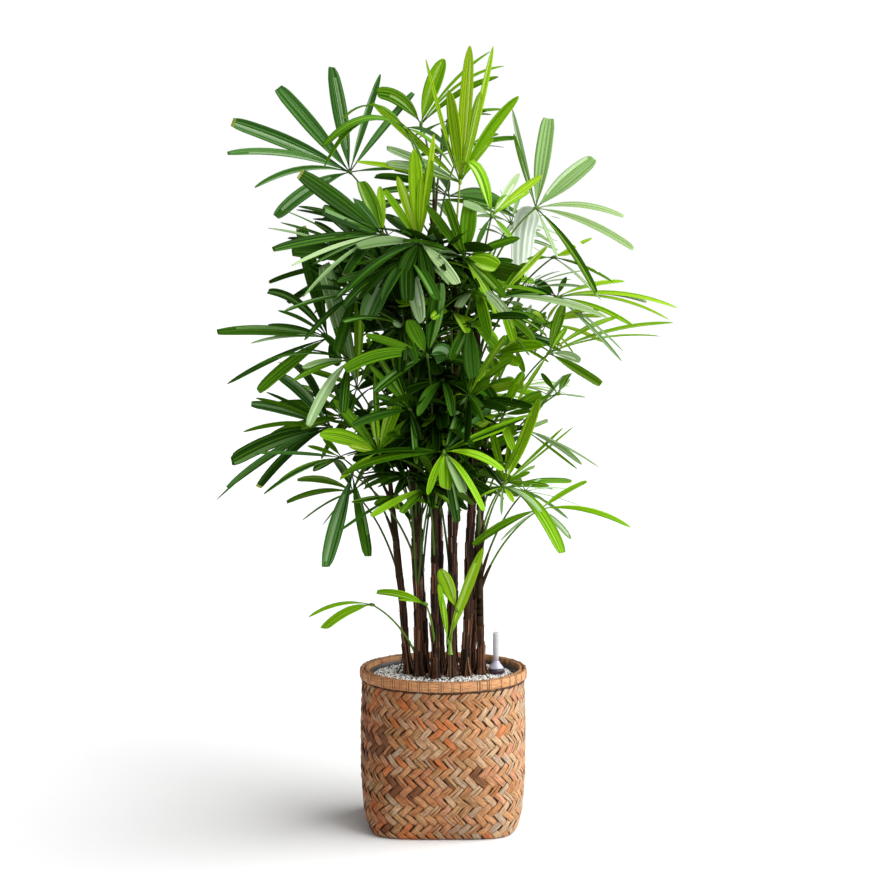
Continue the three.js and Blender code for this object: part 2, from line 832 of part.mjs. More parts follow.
const materials = {
  wicker: { color: 0xb98a5a, roughness: 0.75 },
  rimWood: { color: 0xb8946a, roughness: 0.7 },
  liner: { color: 0x2b2826, roughness: 0.6 },
  granules: { color: 0xb9b7b2, roughness: 0.9 },
  gaugeBase: { color: 0x3b2b33, roughness: 0.35 },
  gaugeTube: { color: 0xd9dde0, roughness: 0.15 },
  cane: { color: 0x4a3325, roughness: 0.9 },
  leaf: { color: 0x3f7a1f, roughness: 0.5 },
};

const plant = new THREE.Group();

function addMesh(name, geometry, { color, roughness }) {
  const material = new THREE.MeshStandardMaterial({ color, roughness, metalness: 0 });
  const mesh = new THREE.Mesh(geometry, material);
  mesh.name = name;
  plant.add(mesh);
  return mesh;
}

addMesh("basket", basketShell(), materials.wicker);
addMesh("rim_hoop", rimHoop(), materials.rimWood);
addMesh("liner_pot", linerPot(), materials.liner);
addMesh("granules", granuleFill(), materials.granules);
addMesh("gauge_base", gaugeBase(), materials.gaugeBase).position.set(gauge.x, gauge.y, 0);
addMesh("gauge_tube", gaugeTube(), materials.gaugeTube).position.set(gauge.x, gauge.y, 0);
canes.forEach((cane, i) => addMesh(`cane_${i + 1}`, caneLoft(cane), materials.cane));

// Every solid placed so far, with its node's name and its box, so that a new one can keep clear.
const placed = [];

function place(node, solid) {
  placed.push({ node, solid, box: solid.boundingBox() });
}

function boxesMeet(a, b) {
  return [0, 1, 2].every((k) => a.min[k] < b.max[k] && b.min[k] < a.max[k]);
}

// True where a solid that is already a little larger all round touches no other node.
function isClear(node, grownSolid) {
  const box = grownSolid.boundingBox();
  return placed.every(
    (other) =>
      other.node === node ||
      !boxesMeet(box, other.box) ||
      grownSolid.intersect(other.solid).isEmpty(),
  );
}

canes.forEach((cane, i) => place(`cane_${i + 1}`, solidOf(caneLoft(cane))));
place("gauge_tube", solidOf(gaugeTube().translate(gauge.x, gauge.y, 0)));

// The pieces of each foliage node. A frond that leaves its cane above the bare part is fused to
// the cane's crown, and the others are nodes of their own, numbered along each cane.
const foliage = new Map();
canes.forEach((cane, i) => {
  const sheath = solidOf(sheathLoft(cane));
  foliage.set(`crown_${i + 1}`, [sheath]);
  place(`crown_${i + 1}`, sheath);
});

// Stalks first. One that would touch another node bows to a side, and a frond whose stalk finds
// no way is left out.
const bows = [0, 12, -12, 24, -24, 36, -36, 50, -50];
const hubSpace = new THREE.OctahedronGeometry(hub.space);
const singles = canes.map(() => 0);

function placeStalk(frond) {
  const cane = canes[frond.cane - 1];
  const inCrown = frond.at > cane.bare;
  const single = `frond_${frond.cane}_${singles[frond.cane - 1] + 1}`;
  const node = inCrown ? `crown_${frond.cane}` : single;
  const bareCane = solidOf(caneLoft(cane, clearance));
  const stalkSolid = (bow, grown) => {
    const solid = solidOf(stalkLoft(stalkCurve(frond, cane, bow), grown));
    return inCrown ? solid : solid.subtract(bareCane);
  };
  const centre = stalkCurve(frond, cane, 0).getPoint(1);
  const space = solidOf(hubSpace.clone().translate(...centre.toArray()));
  const bow = bows.find((value) => isClear(node, stalkSolid(value, 2 * clearance)));
  if (bow === undefined || !isClear(node, space)) return null;
  const stalk = stalkSolid(bow, 0);
  if (!inCrown) {
    singles[frond.cane - 1] += 1;
    foliage.set(node, []);
  }
  foliage.get(node).push(stalk);
  place(node, stalk);
  place(node, space);
  return { ...frond, node, centre };
}

// Then leaflets. One that would touch another leaflet, stalk or cane turns by a share of the
// space to its neighbour, or lifts off the fan, or gets shorter, and otherwise is left out.
const poses = [
  { turn: 0, lift: 0.06, size: 1 },
  { turn: 0.2, lift: 0.1, size: 1 },
  { turn: -0.2, lift: 0.02, size: 1 },
  { turn: 0, lift: 0.2, size: 1 },
  { turn: 0, lift: -0.1, size: 1 },
  { turn: 0.2, lift: -0.05, size: 1 },
  { turn: -0.2, lift: 0.16, size: 1 },
  { turn: 0, lift: 0.35, size: 0.95 },
  { turn: 0, lift: -0.25, size: 0.95 },
  { turn: 0, lift: 0.06, size: 0.8 },
  { turn: 0.2, lift: 0.2, size: 0.8 },
  { turn: -0.2, lift: 0.2, size: 0.8 },
  { turn: 0, lift: 0.5, size: 0.8 },
  { turn: 0, lift: -0.4, size: 0.8 },
];
const widestSpacing = 40;

function placeLeaflets(frond) {
  const leaflets = [];
  const solids = [];
  for (const [angle, length, width, droop = frond.droop] of frond.fan) {
    const others = frond.fan.map((row) => Math.abs(row[0] - angle)).filter((a) => a > 0);
    const spacing = Math.min(widestSpacing, ...others);
    const room = leafletShape.rootShare * hub.radius * radians(spacing);
    const root = Math.min(leafletShape.rootWidth, room);
    for (const { turn, lift, size } of poses) {
      const leaflet = { angle: angle + turn * spacing, length: length * size, width, droop, lift, root };
      const solid = solidOf(loft(leafletRings(frond.centre, frond, leaflet)));
      const grown = solidOf(loft(leafletRings(frond.centre, frond, leaflet, clearance)));
      const touches = solids.some((other) => !other.intersect(solid).isEmpty());
      if (touches || !isClear(frond.node, grown)) continue;
      leaflets.push(leaflet);
      solids.push(solid);
      place(frond.node, solid);
      break;
    }
  }
  if (!leaflets.length) return;
  foliage.get(frond.node).push(solidOf(bladeGeometry(frond.centre, frond, leaflets)));
}

const allFronds = [...fronds, ...backFronds.map(ruledFrond)];
allFronds.map(placeStalk).filter(Boolean).forEach(placeLeaflets);

for (const [name, pieces] of foliage) {
  const bodies = wasm.Manifold.union(pieces).decompose();
  const largest = bodies.reduce((a, b) => (b.volume() > a.volume() ? b : a));
  addMesh(name, geometryOf(largest), materials.leaf);
}

export default plant;
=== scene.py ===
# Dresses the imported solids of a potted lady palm: fans of pleated leaflets on slender, fibrous
# canes, growing in granules inside a plastic liner that stands in a woven bamboo basket.
# Lengths are in millimetres until a mesh is made, +Z is up and -Y is the front.
import math

import bpy
import numpy as np
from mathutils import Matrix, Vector
from mathutils.bvhtree import BVHTree


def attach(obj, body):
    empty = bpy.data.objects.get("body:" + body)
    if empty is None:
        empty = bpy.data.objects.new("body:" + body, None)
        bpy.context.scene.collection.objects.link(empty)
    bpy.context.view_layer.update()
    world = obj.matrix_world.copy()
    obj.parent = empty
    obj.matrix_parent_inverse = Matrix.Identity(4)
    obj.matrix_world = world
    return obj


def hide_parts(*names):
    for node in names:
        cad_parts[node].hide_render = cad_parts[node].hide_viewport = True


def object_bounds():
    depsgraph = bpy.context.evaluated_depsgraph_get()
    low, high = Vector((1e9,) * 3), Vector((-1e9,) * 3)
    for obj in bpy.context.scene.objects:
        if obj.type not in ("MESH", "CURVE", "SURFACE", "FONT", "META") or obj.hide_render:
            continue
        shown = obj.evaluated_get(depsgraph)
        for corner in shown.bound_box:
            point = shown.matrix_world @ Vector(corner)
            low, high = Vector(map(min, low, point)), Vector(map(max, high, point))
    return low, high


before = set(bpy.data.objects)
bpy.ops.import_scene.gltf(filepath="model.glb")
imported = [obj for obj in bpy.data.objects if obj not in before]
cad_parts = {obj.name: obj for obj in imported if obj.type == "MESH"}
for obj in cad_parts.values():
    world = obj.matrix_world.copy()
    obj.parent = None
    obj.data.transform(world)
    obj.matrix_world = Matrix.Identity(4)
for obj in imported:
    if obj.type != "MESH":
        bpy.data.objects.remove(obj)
scene = bpy.context.scene
millimetre = 0.001  # in metres
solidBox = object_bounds()
cadBox = np.array(solidBox) / millimetre
up = np.array([0.0, 0.0, 1.0])
turn = 2 * math.pi
cameraLook = {
    "location": (3.5, -4600, 1218),
    "downwards": 5.11,  # degrees
    "lens": 88.8,
    "sensor": 36,
    "across": 890,  # units in the front view
    "unit": 2.08,  # millimetres at the plant
}
print("frame: %d nodes" % len(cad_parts))


def unit(v):
    # Vectors along the last axis, scaled to length one.
    return v / np.linalg.norm(v, axis=-1, keepdims=True)


def direction(heading, pitch):
    # A unit vector from a heading and a pitch in degrees.
    h, p = math.radians(heading), math.radians(pitch)
    return np.array([math.cos(p) * math.cos(h), math.cos(p) * math.sin(h), math.sin(p)])


def circle(angle):
    # Points at angles, in radians, on a level circle of radius one.
    return np.stack([np.cos(angle), np.sin(angle), 0 * angle], -1)


def seeded(seed):
    # Park-Miller numbers between a low and a high value, the same on every run.
    state = [(seed * 7919 + 12345) % 2147483647]

    def between(low, high):
        state[0] = state[0] * 16807 % 2147483647
        return low + (high - low) * state[0] / 2147483647

    return between


def gridFaces(rows, columns, wrap=False, closed=False):
    # Quads of a grid whose points are stored row by row. wrap joins the last column to the first,
    # and closed joins the last row to the first.
    i = np.arange(rows if closed else rows - 1)[:, None]
    j = np.arange(columns if wrap else columns - 1)[None, :]
    a = i * columns + j
    b = i * columns + (j + 1) % columns
    above = (i + 1) % rows * columns
    return np.stack([a, b, above + (j + 1) % columns, above + j], -1).reshape(-1, 4)


class Heap:
    # Gathers many shapes for one joined mesh: points, faces, the material of each face, and the
    # place of each point on its own surface.
    def __init__(self):
        self.points, self.own = [], []
        self.quads, self.quadTones = [np.zeros((0, 4), int)], []
        self.triangles, self.triangleTones = [np.zeros((0, 3), int)], []
        self.count = 0

    def add(self, points, quads, triangles=(), tone=0, own=None):
        points = np.asarray(points, float).reshape(-1, 3)
        self.points.append(points)
        self.own.append(np.zeros((len(points), 2)) if own is None else own.reshape(-1, 2))
        self.quads.append(quads + self.count)
        self.quadTones.append(np.broadcast_to(tone, len(quads)))
        if len(triangles):
            self.triangles.append(triangles + self.count)
            self.triangleTones.append(np.full(len(triangles), np.ravel(tone)[0]))
        self.count += len(points)


def makePiece(name, heap, materials, slot, replaces=(), smooth=True):
    # One mesh object from a heap, in metres, which rides on the root body.
    points = np.concatenate(heap.points) * millimetre
    quads = np.concatenate(heap.quads)
    triangles = np.concatenate(heap.triangles)
    corners = np.concatenate([quads.ravel(), triangles.ravel()]).astype(np.int32)
    starts = np.concatenate([np.arange(len(quads)) * 4, quads.size + np.arange(len(triangles)) * 3])
    used, tones = np.unique(
        np.concatenate([*heap.quadTones, *heap.triangleTones]), return_inverse=True
    )
    mesh = bpy.data.meshes.new(name)
    mesh.vertices.add(len(points))
    mesh.vertices.foreach_set("co", points.astype(np.float32).ravel())
    mesh.loops.add(len(corners))
    mesh.loops.foreach_set("vertex_index", corners)
    mesh.polygons.add(len(starts))
    mesh.polygons.foreach_set("loop_start", starts.astype(np.int32))
    mesh.polygons.foreach_set("material_index", tones.astype(np.int32))
    mesh.polygons.foreach_set("use_smooth", np.full(len(starts), smooth))
    for index in used:
        mesh.materials.append(materials[index])
    own = mesh.uv_layers.new(name="ownSurface")
    own.data.foreach_set("uv", np.concatenate(heap.own)[corners].astype(np.float32).ravel())
    mesh.update(calc_edges=True)
    piece = bpy.data.objects.new(name, mesh)
    scene.collection.objects.link(piece)
    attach(piece, "root")
    if replaces:
        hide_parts(*replaces)
    print("%s: %d triangles" % (name, 2 * len(quads) + len(triangles)))
    return piece


def capped(rings):
    # A closed surface from rings that run counter-clockwise about the way of travel, with a
    # point in the middle of each end.
    rows, columns = rings.shape[:2]
    points = np.vstack([rings.reshape(-1, 3), rings[0].mean(0), rings[-1].mean(0)])
    j = np.arange(columns)
    k = (j + 1) % columns
    last = (rows - 1) * columns
    foot = np.stack([np.full(columns, last + columns), k, j], -1)
    end = np.stack([np.full(columns, last + columns + 1), last + j, last + k], -1)
    return points, gridFaces(rows, columns, wrap=True), np.vstack([foot, end])


def tube(points, radii, sides, reference=None):
    # A closed tube along points. Its rings start square to the reference.
    travel = unit(np.gradient(points, axis=0))
    if reference is None:
        reference = np.eye(3)[np.argmin(np.abs(points[-1] - points[0]))]
    v = unit(np.cross(travel, reference))
    u = np.cross(v, travel)
    angle = np.arange(sides)[:, None] / sides * turn
    ring = u[:, None] * np.cos(angle) + v[:, None] * np.sin(angle)
    return capped(points[:, None] + ring * np.asarray(radii, float)[:, None, None])


def turned(profile, sides):
    # A profile of [radius, height] that starts and ends on the axis, going outwards and up and
    # back, carried once round the vertical axis.
    inner = np.asarray(profile, float)[1:-1]
    ring = circle(np.arange(sides) / sides * turn)
    return capped(inner[:, :1, None] * ring + inner[:, 1:, None] * up)


def rounded(profile):
    # The same profile with its corners cut twice, so that they shade as soft edges.
    points = np.asarray(profile, float)
    for _ in range(2):
        quarter = points[:-1] * 0.75 + points[1:] * 0.25
        threeQuarters = points[:-1] * 0.25 + points[1:] * 0.75
        middle = np.stack([quarter, threeQuarters], 1).reshape(-1, 2)[1:-1]
        points = np.vstack([points[:1], middle, points[-1:]])
    return points


# The materials. A colour is given by its screen values from 0 to 255.


def screenColour(red, green, blue):
    c = np.array([red, green, blue]) / 255
    linear = np.where(c <= 0.04045, c / 12.92, ((c + 0.055) / 1.055) ** 2.4)
    return (*linear.tolist(), 1.0)


def addNode(tree, kind, inputs=None, **settings):
    node = tree.nodes.new(kind)
    for name, value in settings.items():
        setattr(node, name, value)
    for name, value in (inputs or {}).items():
        if isinstance(value, bpy.types.NodeSocket):
            tree.links.new(value, node.inputs[name])
        else:
            node.inputs[name].default_value = value
    return node


def maths(tree, operation, *values):
    return addNode(
        tree, "ShaderNodeMath", dict(enumerate(values)), operation=operation
    ).outputs[0]


def vectorMaths(tree, operation, inputs):
    return addNode(tree, "ShaderNodeVectorMath", inputs, operation=operation).outputs[0]


def ranged(tree, value, low, high, start=0.0, end=1.0):
    # The value carried from low and high to start and end, and held there.
    inputs = {0: value, 1: low, 2: high, 3: start, 4: end}
    return addNode(tree, "ShaderNodeMapRange", inputs).outputs[0]


def noiseAt(tree, place, scale, detail, roughness):
    inputs = {"Vector": place, "Scale": scale, "Detail": detail, "Roughness": roughness}
    return addNode(tree, "ShaderNodeTexNoise", inputs).outputs["Fac"]


def newGroup(name, inputs, outputs):
    # A shader node group with its named inputs and outputs, and its two end nodes.
    group = bpy.data.node_groups.new(name, "ShaderNodeTree")
    for title, kind, value in inputs:
        socket = group.interface.new_socket(title, in_out="INPUT", socket_type=kind)
        socket.default_value = value
    for title, kind in outputs:
        group.interface.new_socket(title, in_out="OUTPUT", socket_type=kind)
    start = group.nodes.new("NodeGroupInput")
    end = group.nodes.new("NodeGroupOutput")
    return group, start.outputs, end.inputs


def makeMottle():
    # Soft blotches: the colour times 1 plus or minus Strength, by a noise that Stretch pulls out
    # along an axis, and the same noise as a height for the bump.
    group, given, result = newGroup(
        "mottle",
        [
            ("Colour", "NodeSocketColor", (0.5, 0.5, 0.5, 1)),
            ("Strength", "NodeSocketFloat", 0.2),
            ("Scale", "NodeSocketFloat", 40.0),
            ("Stretch", "NodeSocketVector", (1, 1, 1)),
        ],
        [("Colour", "NodeSocketColor"), ("Height", "NodeSocketFloat")],
    )
    place = addNode(group, "ShaderNodeTexCoord").outputs["Object"]
    pulled = vectorMaths(group, "MULTIPLY", {0: place, 1: given["Stretch"]})
    noise = noiseAt(group, pulled, given["Scale"], 4.0, 0.6)
    swing = ranged(group, noise, 0.3, 0.7, -1.0, 1.0)
    factor = maths(group, "MULTIPLY_ADD", swing, given["Strength"], 1.0)
    tinted = vectorMaths(group, "SCALE", {0: given["Colour"], "Scale": factor})
    group.links.new(tinted, result["Colour"])
    group.links.new(noise, result["Height"])
    return group


strawLook = {
    "alongScale": 0.06,  # of the fibres' noise along the strip
    "stripChange": 0.002,  # how much the noise changes from strip to strip
    "edgeStart": 0.72,  # of the way from the middle to the edge
    "stainTint": (0.74, 0.43, 0.25),
    "stainScale": 24.0,
    "stainRange": (0.36, 0.62),
    "stainAndShadeSides": (1.0, 0.3),  # at the left and at the right
}


def makeStraw():
    # Split bamboo on its own surface, u along the strip in millimetres and v across from -1 to 1:
    # long pale and dark fibres, and edges that darken.
    group, given, result = newGroup(
        "straw",
        [
            ("Colour", "NodeSocketColor", (0.5, 0.4, 0.3, 1)),
            ("Fibres", "NodeSocketFloat", 7.0),
            ("Strength", "NodeSocketFloat", 0.3),
            ("Edge", "NodeSocketFloat", 0.55),
            ("Stain", "NodeSocketFloat", 0.0),
        ],
        [("Colour", "NodeSocketColor"), ("Height", "NodeSocketFloat")],
    )
    place = addNode(group, "ShaderNodeUVMap", uv_map="ownSurface").outputs[0]
    parts = addNode(group, "ShaderNodeSeparateXYZ", {0: place}).outputs
    along = maths(group, "MULTIPLY", parts[0], strawLook["alongScale"])
    across = maths(group, "MULTIPLY", parts[1], given["Fibres"])
    pulled = addNode(group, "ShaderNodeCombineXYZ", {0: along, 1: across, 2: parts[0]}).outputs[0]
    slow = vectorMaths(group, "MULTIPLY", {0: pulled, 1: (1, 1, strawLook["stripChange"])})
    noise = noiseAt(group, slow, 1.0, 3.0, 0.65)
    swing = ranged(group, noise, 0.3, 0.7, -1.0, 1.0)
    fibre = maths(group, "MULTIPLY_ADD", swing, given["Strength"], 1.0)
    distance = maths(group, "ABSOLUTE", parts[1])
    edge = ranged(group, distance, strawLook["edgeStart"], 1.0, 1.0, given["Edge"])
    both = maths(group, "MULTIPLY", fibre, edge)
    tinted = vectorMaths(group, "SCALE", {0: given["Colour"], "Scale": both})
    # Brown stains that spread over several strips, most of all at the left: real stains, strengthened
    # at the left as painted shade.
    body = addNode(group, "ShaderNodeTexCoord").outputs["Object"]
    blotch = noiseAt(group, body, strawLook["stainScale"], 5.0, 0.7)
    spread = ranged(group, blotch, *strawLook["stainRange"])
    side = addNode(group, "ShaderNodeSeparateXYZ", {0: body}).outputs[0]
    fade = ranged(group, side, -0.15, 0.15, *strawLook["stainAndShadeSides"])
    stain = maths(group, "MULTIPLY", maths(group, "MULTIPLY", spread, fade), given["Stain"])
    browned = vectorMaths(group, "MULTIPLY", {0: tinted, 1: strawLook["stainTint"]})
    stained = addNode(
        group, "ShaderNodeMix", {0: stain, 4: tinted, 5: browned}, data_type="VECTOR"
    ).outputs[1]
    group.links.new(stained, result["Colour"])
    group.links.new(noise, result["Height"])
    return group


mottle = makeMottle()
straw = makeStraw()


def plainMaterial(name, colour, roughness, specular=0.5):
    material = bpy.data.materials.new(name)
    material.use_nodes = True
    shader = material.node_tree.nodes["Principled BSDF"]
    shader.inputs["Base Color"].default_value = screenColour(*colour)
    shader.inputs["Roughness"].default_value = roughness
    shader.inputs["Specular IOR Level"].default_value = specular
    return material


def makeMaterial(name, group, colour, roughness, bump, inputs, specular=0.5):
    # A material whose colour and bump come from a node group with this material's own values.
    material = plainMaterial(name, colour, roughness, specular)
    tree = material.node_tree
    shader = tree.nodes["Principled BSDF"]
    effect = addNode(tree, "ShaderNodeGroup", node_tree=group)
    for title, value in {"Colour": screenColour(*colour), **inputs}.items():
        effect.inputs[title].default_value = value
    tree.links.new(effect.outputs["Colour"], shader.inputs["Base Color"])
    relief = addNode(
        tree,
        "ShaderNodeBump",
        {"Height": effect.outputs["Height"], "Strength": bump, "Distance": millimetre},
    )
    tree.links.new(relief.outputs["Normal"], shader.inputs["Normal"])
    return material


# The basket. Its section at a height is a superellipse, |x|^power + |y|^power = half^power, a
# rounded square at the foot and a circle at the mouth.
basket = {
    "heights": [0, 4, 14, 42, 110, 220, 312, 335],
    "halfWidths": [147, 153, 159, 167, 173.5, 174.5, 171.5, 170.5],
    "powers": [4.6, 4.4, 4.1, 3.5, 2.7, 2.2, 2, 2],
    "wall": 7,
    "backing": 1.9,  # how far the dark backing lies behind the strips
}
weave = {
    "around": 54,  # strips in each band
    "bandPitch": 20,
    "lowestBand": 5,
    "bands": 16,
    "stripLength": 28.3,
    "stripWidth": 14.1,
    "tuck": 3.4,  # how far each end goes on under its neighbours
    "relief": 2.3,
    "reliefSwing": 0.45,  # how much flatter it is at the right and higher at the left
    "slopeSwing": 6,  # degrees
    "widthSwing": (-2.6, 0.8),
    "shiftSwing": 1.2,
    "lengthSwing": (-4, 3),
    "thickness": 0.9,
    "gap": 0.4,
    "splitShare": 0.14,
    "splitWidth": 0.47,  # of the whole strip
    "splitShift": 0.26,
    "patches": {"dark": 1.4, "brown": 0.7, "orange": -1.0, "beige": -0.6},
    "tilt": 0.6,  # how far one long edge of a strip stands above the other
    "wavy": 0.09,  # of the width
    # The shares make the strips darker and more orange at the left and paler at the right: partly their
    # own colours, partly painted shade at the left and painted light at the right.
    "tones": {  # colour, and its share at the left and at the right
        "tan": ((176, 132, 92), 0.26, 0.24),
        "pink": ((174, 127, 94), 0.18, 0.14),
        "beige": ((176, 146, 114), 0.07, 0.34),
        "brown": ((162, 113, 72), 0.20, 0.06),
        "olive": ((162, 127, 88), 0.15, 0.12),
        "orange": ((184, 116, 68), 0.10, 0.0),
        "grey": ((164, 142, 118), 0.04, 0.14),
        "dark": ((116, 78, 50), 0.06, 0.0),
    },
}


def basketSurface(angle, z, outwards):
    # Points on the basket's outside at an angle and a height, moved square to it by outwards.
    # Below the floor's level the surface turns in under the basket.
    def surface(angle, z):
        level = np.maximum(z, 0.9)
        half = np.interp(level, basket["heights"], basket["halfWidths"]) - (level - z)
        power = np.interp(level, basket["heights"], basket["powers"])
        c, s = np.cos(angle), np.sin(angle)
        r = half / (np.abs(c) ** power + np.abs(s) ** power) ** (1 / power)
        return np.stack([r * c, r * s, level], -1)

    step = 0.02
    here = surface(angle, z)
    around = surface(angle + step, z) - surface(angle - step, z)
    rise = surface(angle, z + 3) - surface(angle, z - 3)
    normal = unit(np.cross(around, rise))
    return here + normal * np.asarray(outwards)[..., None]


def makeBasketBody(material):
    # The closed shell behind the strips: up the outside and down the inside.
    sides = 160
    angle = np.arange(sides)[None, :] / sides * turn
    outer = np.array([0.9, 3, 8, 14, 25, 42, 70, 110, 165, 220, 312, 330])[:, None]
    inner = np.array([330, 312, 220, 165, 110, 70, 42, 25, 14, 10])[:, None]
    walls = ((outer, basket["backing"]), (inner, basket["wall"]))
    rings = np.vstack([basketSurface(angle, z + 0 * angle, -depth) for z, depth in walls])
    rings[..., 2] = np.maximum(rings[..., 2], 0.3)
    heap = Heap()
    heap.add(*capped(rings))
    return makePiece("basketBody", heap, [material], "wicker", ["basket"])


def addStrip(heap, centre, slope, width, shift, tone, length, grain):
    # One visible float: it rises to its middle and dips under its neighbours at both ends, and
    # is a little crowned across. The section's eight points go round the strip.
    stations = 9
    along = np.linspace(-1, 1, stations)[:, None] * (length / 2 + weave["tuck"])
    across = np.array([1, 1, 0.5, 0, -0.5, -1, -1, 0])[None, :] * width / 2
    top = np.array([0, 1, 1, 1, 1, 1, 0, 0])[None, :]
    facing = centre[0] / weave["bandPitch"] / weave["around"] * turn
    relief = weave["relief"] * (1 - weave["reliefSwing"] * math.cos(facing))
    lift = relief * (np.cos(along / (length / 2 + 3) * math.pi / 2) - 0.5)
    crown = -0.35 * (2 * across / width) ** 2
    tilt = weave["tilt"] * math.sin(grain) * 2 * across / width
    height = lift + crown + tilt - (1 - top) * weave["thickness"]
    across = across * (1 + weave["wavy"] * np.sin(0.3 * along + np.sign(across) * 2 + grain))
    u = centre[0] + along * math.cos(slope) - (across + shift) * math.sin(slope)
    z = centre[1] + along * math.sin(slope) + (across + shift) * math.cos(slope)
    angle = u / (weave["around"] * weave["bandPitch"]) * turn
    points = basketSurface(angle, z, height)
    points[..., 2] = np.maximum(points[..., 2], 0.05)
    own = np.stack([along + grain + 0 * across, 2 * across / width + 0 * along], -1)
    columns = across.shape[1]
    body = gridFaces(stations, columns, wrap=True)
    end = np.array([[0, 1, 2, 7], [7, 2, 3, 4], [7, 4, 5, 6]])
    caps = np.vstack([end[:, ::-1], end + (stations - 1) * columns])
    heap.add(points, np.vstack([body, caps]), tone=tone, own=own)


def makeWeave():
    # A twill: every band's strips are parallel, and the next band's lean the other way.
    between = seeded(3)
    names = list(weave["tones"])
    tones = [weave["tones"][name] for name in names]
    fibres = {"Strength": 0.6, "Fibres": 4.0, "Stain": 0.9}
    materials = [
        makeMaterial("strip_" + name, straw, colour, 0.65, 1.0, fibres, 0.2)
        for name, (colour, _, _) in zip(names, tones)
    ]
    left = np.array([share for _, share, _ in tones])
    right = np.array([share for _, _, share in tones])
    patches = np.array([weave["patches"].get(name, 0) for name in names])
    heap = Heap()
    for band in range(weave["bands"]):
        falling = band % 2 == 0
        for column in range(weave["around"]):
            u = (column + (0.25 if falling else 0.75)) * weave["bandPitch"]
            z = weave["lowestBand"] + band * weave["bandPitch"]
            angle = u / (weave["around"] * weave["bandPitch"]) * turn
            toRight = 0.5 + 0.5 * math.cos(angle)
            # Dark and orange strips gather in slanting patches, towards the left only, where they are
            # partly painted shade.
            patch = math.sin(2.6 * angle + z / 46 + 0.6) + 0.7 * math.sin(5.3 * angle - z / 31)
            gathered = np.exp(patch * (1 - toRight) * patches)
            shares = np.cumsum((left + (right - left) * toRight) * gathered)
            lean = between(-weave["slopeSwing"], weave["slopeSwing"])
            slope = math.radians((-45 if falling else 45) + lean)
            width = weave["stripWidth"] - weave["gap"] + between(*weave["widthSwing"])
            shift = between(-weave["shiftSwing"], weave["shiftSwing"])
            length = weave["stripLength"] + between(*weave["lengthSwing"])
            split = between(0, 1) < weave["splitShare"]
            for part in (-1, 1) if split else (0,):
                tone = int(np.searchsorted(shares / shares[-1], between(0, 1)))
                tone = min(tone, len(tones) - 1)
                wide = width * (weave["splitWidth"] if split else 1)
                aside = shift + part * width * weave["splitShift"]
                addStrip(heap, (u, z), slope, wide, aside, tone, length, between(0, 4000))
    return makePiece("basketWeave", heap, materials, "wicker")


# The backing's dark brown is painted shade, seen in the gaps between the strips.
basketBack = makeMaterial(
    "basketBack", mottle, (62, 36, 20), 0.85, 0.4, {"Scale": 90.0, "Strength": 0.35}, 0.2
)
makeBasketBody(basketBack)
makeWeave()

# The rim: an outer and an inner band of split bamboo that clamp the basket's edge, with nodes in
# pairs, and a thin dark lacing below.
rim = {
    "bottom": 312.4,
    "top": 334.6,
    "bands": [(173.2, 3.3), (163.6, 3.4)],  # middle radius, and half the thickness
    "nodeGap": (14, 38),  # from one pair of nodes to the next
    "firstNode": (4, 20),
    "lastGap": 14,
    "pairShare": 0.7,
    "pairGap": 5.5,
    "nodeWidth": 1.7,
    "footPlace": 1.9,  # of the dark line beside a node
    "footHalf": 0.55,
    "columns": 960,
    "lacingHeight": 310.6,
    "lacingRadius": 172.4,
    "lacingThick": 1.0,
}


def rimNodes(between):
    # The places of the nodes round the band, in millimetres from the right.
    length = turn * rim["bands"][0][0]
    places = []
    place = between(*rim["firstNode"])
    while place < length - rim["lastGap"]:
        places.append(place)
        if between(0, 1) < rim["pairShare"]:
            places.append(place + rim["pairGap"])
        place += between(*rim["nodeGap"])
    return np.array(places)


def makeRim():
    # Each band's section is a flat oval; a node is a low ridge, a gaussian round its place, with
    # a dark line at its foot.
    heap = Heap()
    between = seeded(11)
    count = rim["columns"]
    sectionAngle = np.arange(14) / 14 * turn
    for middle, halfThick in rim["bands"]:
        angle = np.arange(count) / count * turn
        place = angle * rim["bands"][0][0]
        distance = place[:, None] - rimNodes(between)[None, :]
        ridge = 2 * np.exp(-((distance / rim["nodeWidth"]) ** 2)).sum(1)
        wave = 0.5 * np.sin(3 * angle + 1) + 0.4 * np.sin(7 * angle) + 0.25 * np.sin(19 * angle + 2)
        across = np.sign(np.cos(sectionAngle)) * np.abs(np.cos(sectionAngle)) ** 0.7
        rise = np.sign(np.sin(sectionAngle)) * np.abs(np.sin(sectionAngle)) ** 0.45
        halfHeight = (rim["top"] - rim["bottom"]) / 2
        radius = middle + (halfThick + 0.55 * ridge[:, None]) * across[None, :]
        grown = halfHeight - 0.7 + 0.5 * ridge[:, None] + 0.35 * wave[:, None]
        z = (rim["top"] + rim["bottom"]) / 2 - grown * rise[None, :]
        points = circle(angle)[:, None] * radius[..., None] + up * z[..., None]
        own = np.stack([place[:, None] + 0 * rise, 0 * place[:, None] + rise], -1)
        foot = np.abs(np.abs(distance) - rim["footPlace"]).min(1) < rim["footHalf"]
        tone = np.repeat(np.where(foot, 1, 0), len(sectionAngle))
        faces = gridFaces(count, len(sectionAngle), wrap=True, closed=True)
        heap.add(points, faces, tone=tone, own=own)
    fibres = {"Strength": 0.55, "Edge": 0.6, "Stain": 0.6}
    band = makeMaterial("rimBamboo", straw, (186, 138, 94), 0.6, 1.0, fibres, 0.25)
    line = makeMaterial("rimNode", mottle, (92, 56, 34), 0.7, 0.3, {"Scale": 200.0}, 0.3)
    return makePiece("rimBands", heap, [band, line], "rim", ["rim_hoop"])


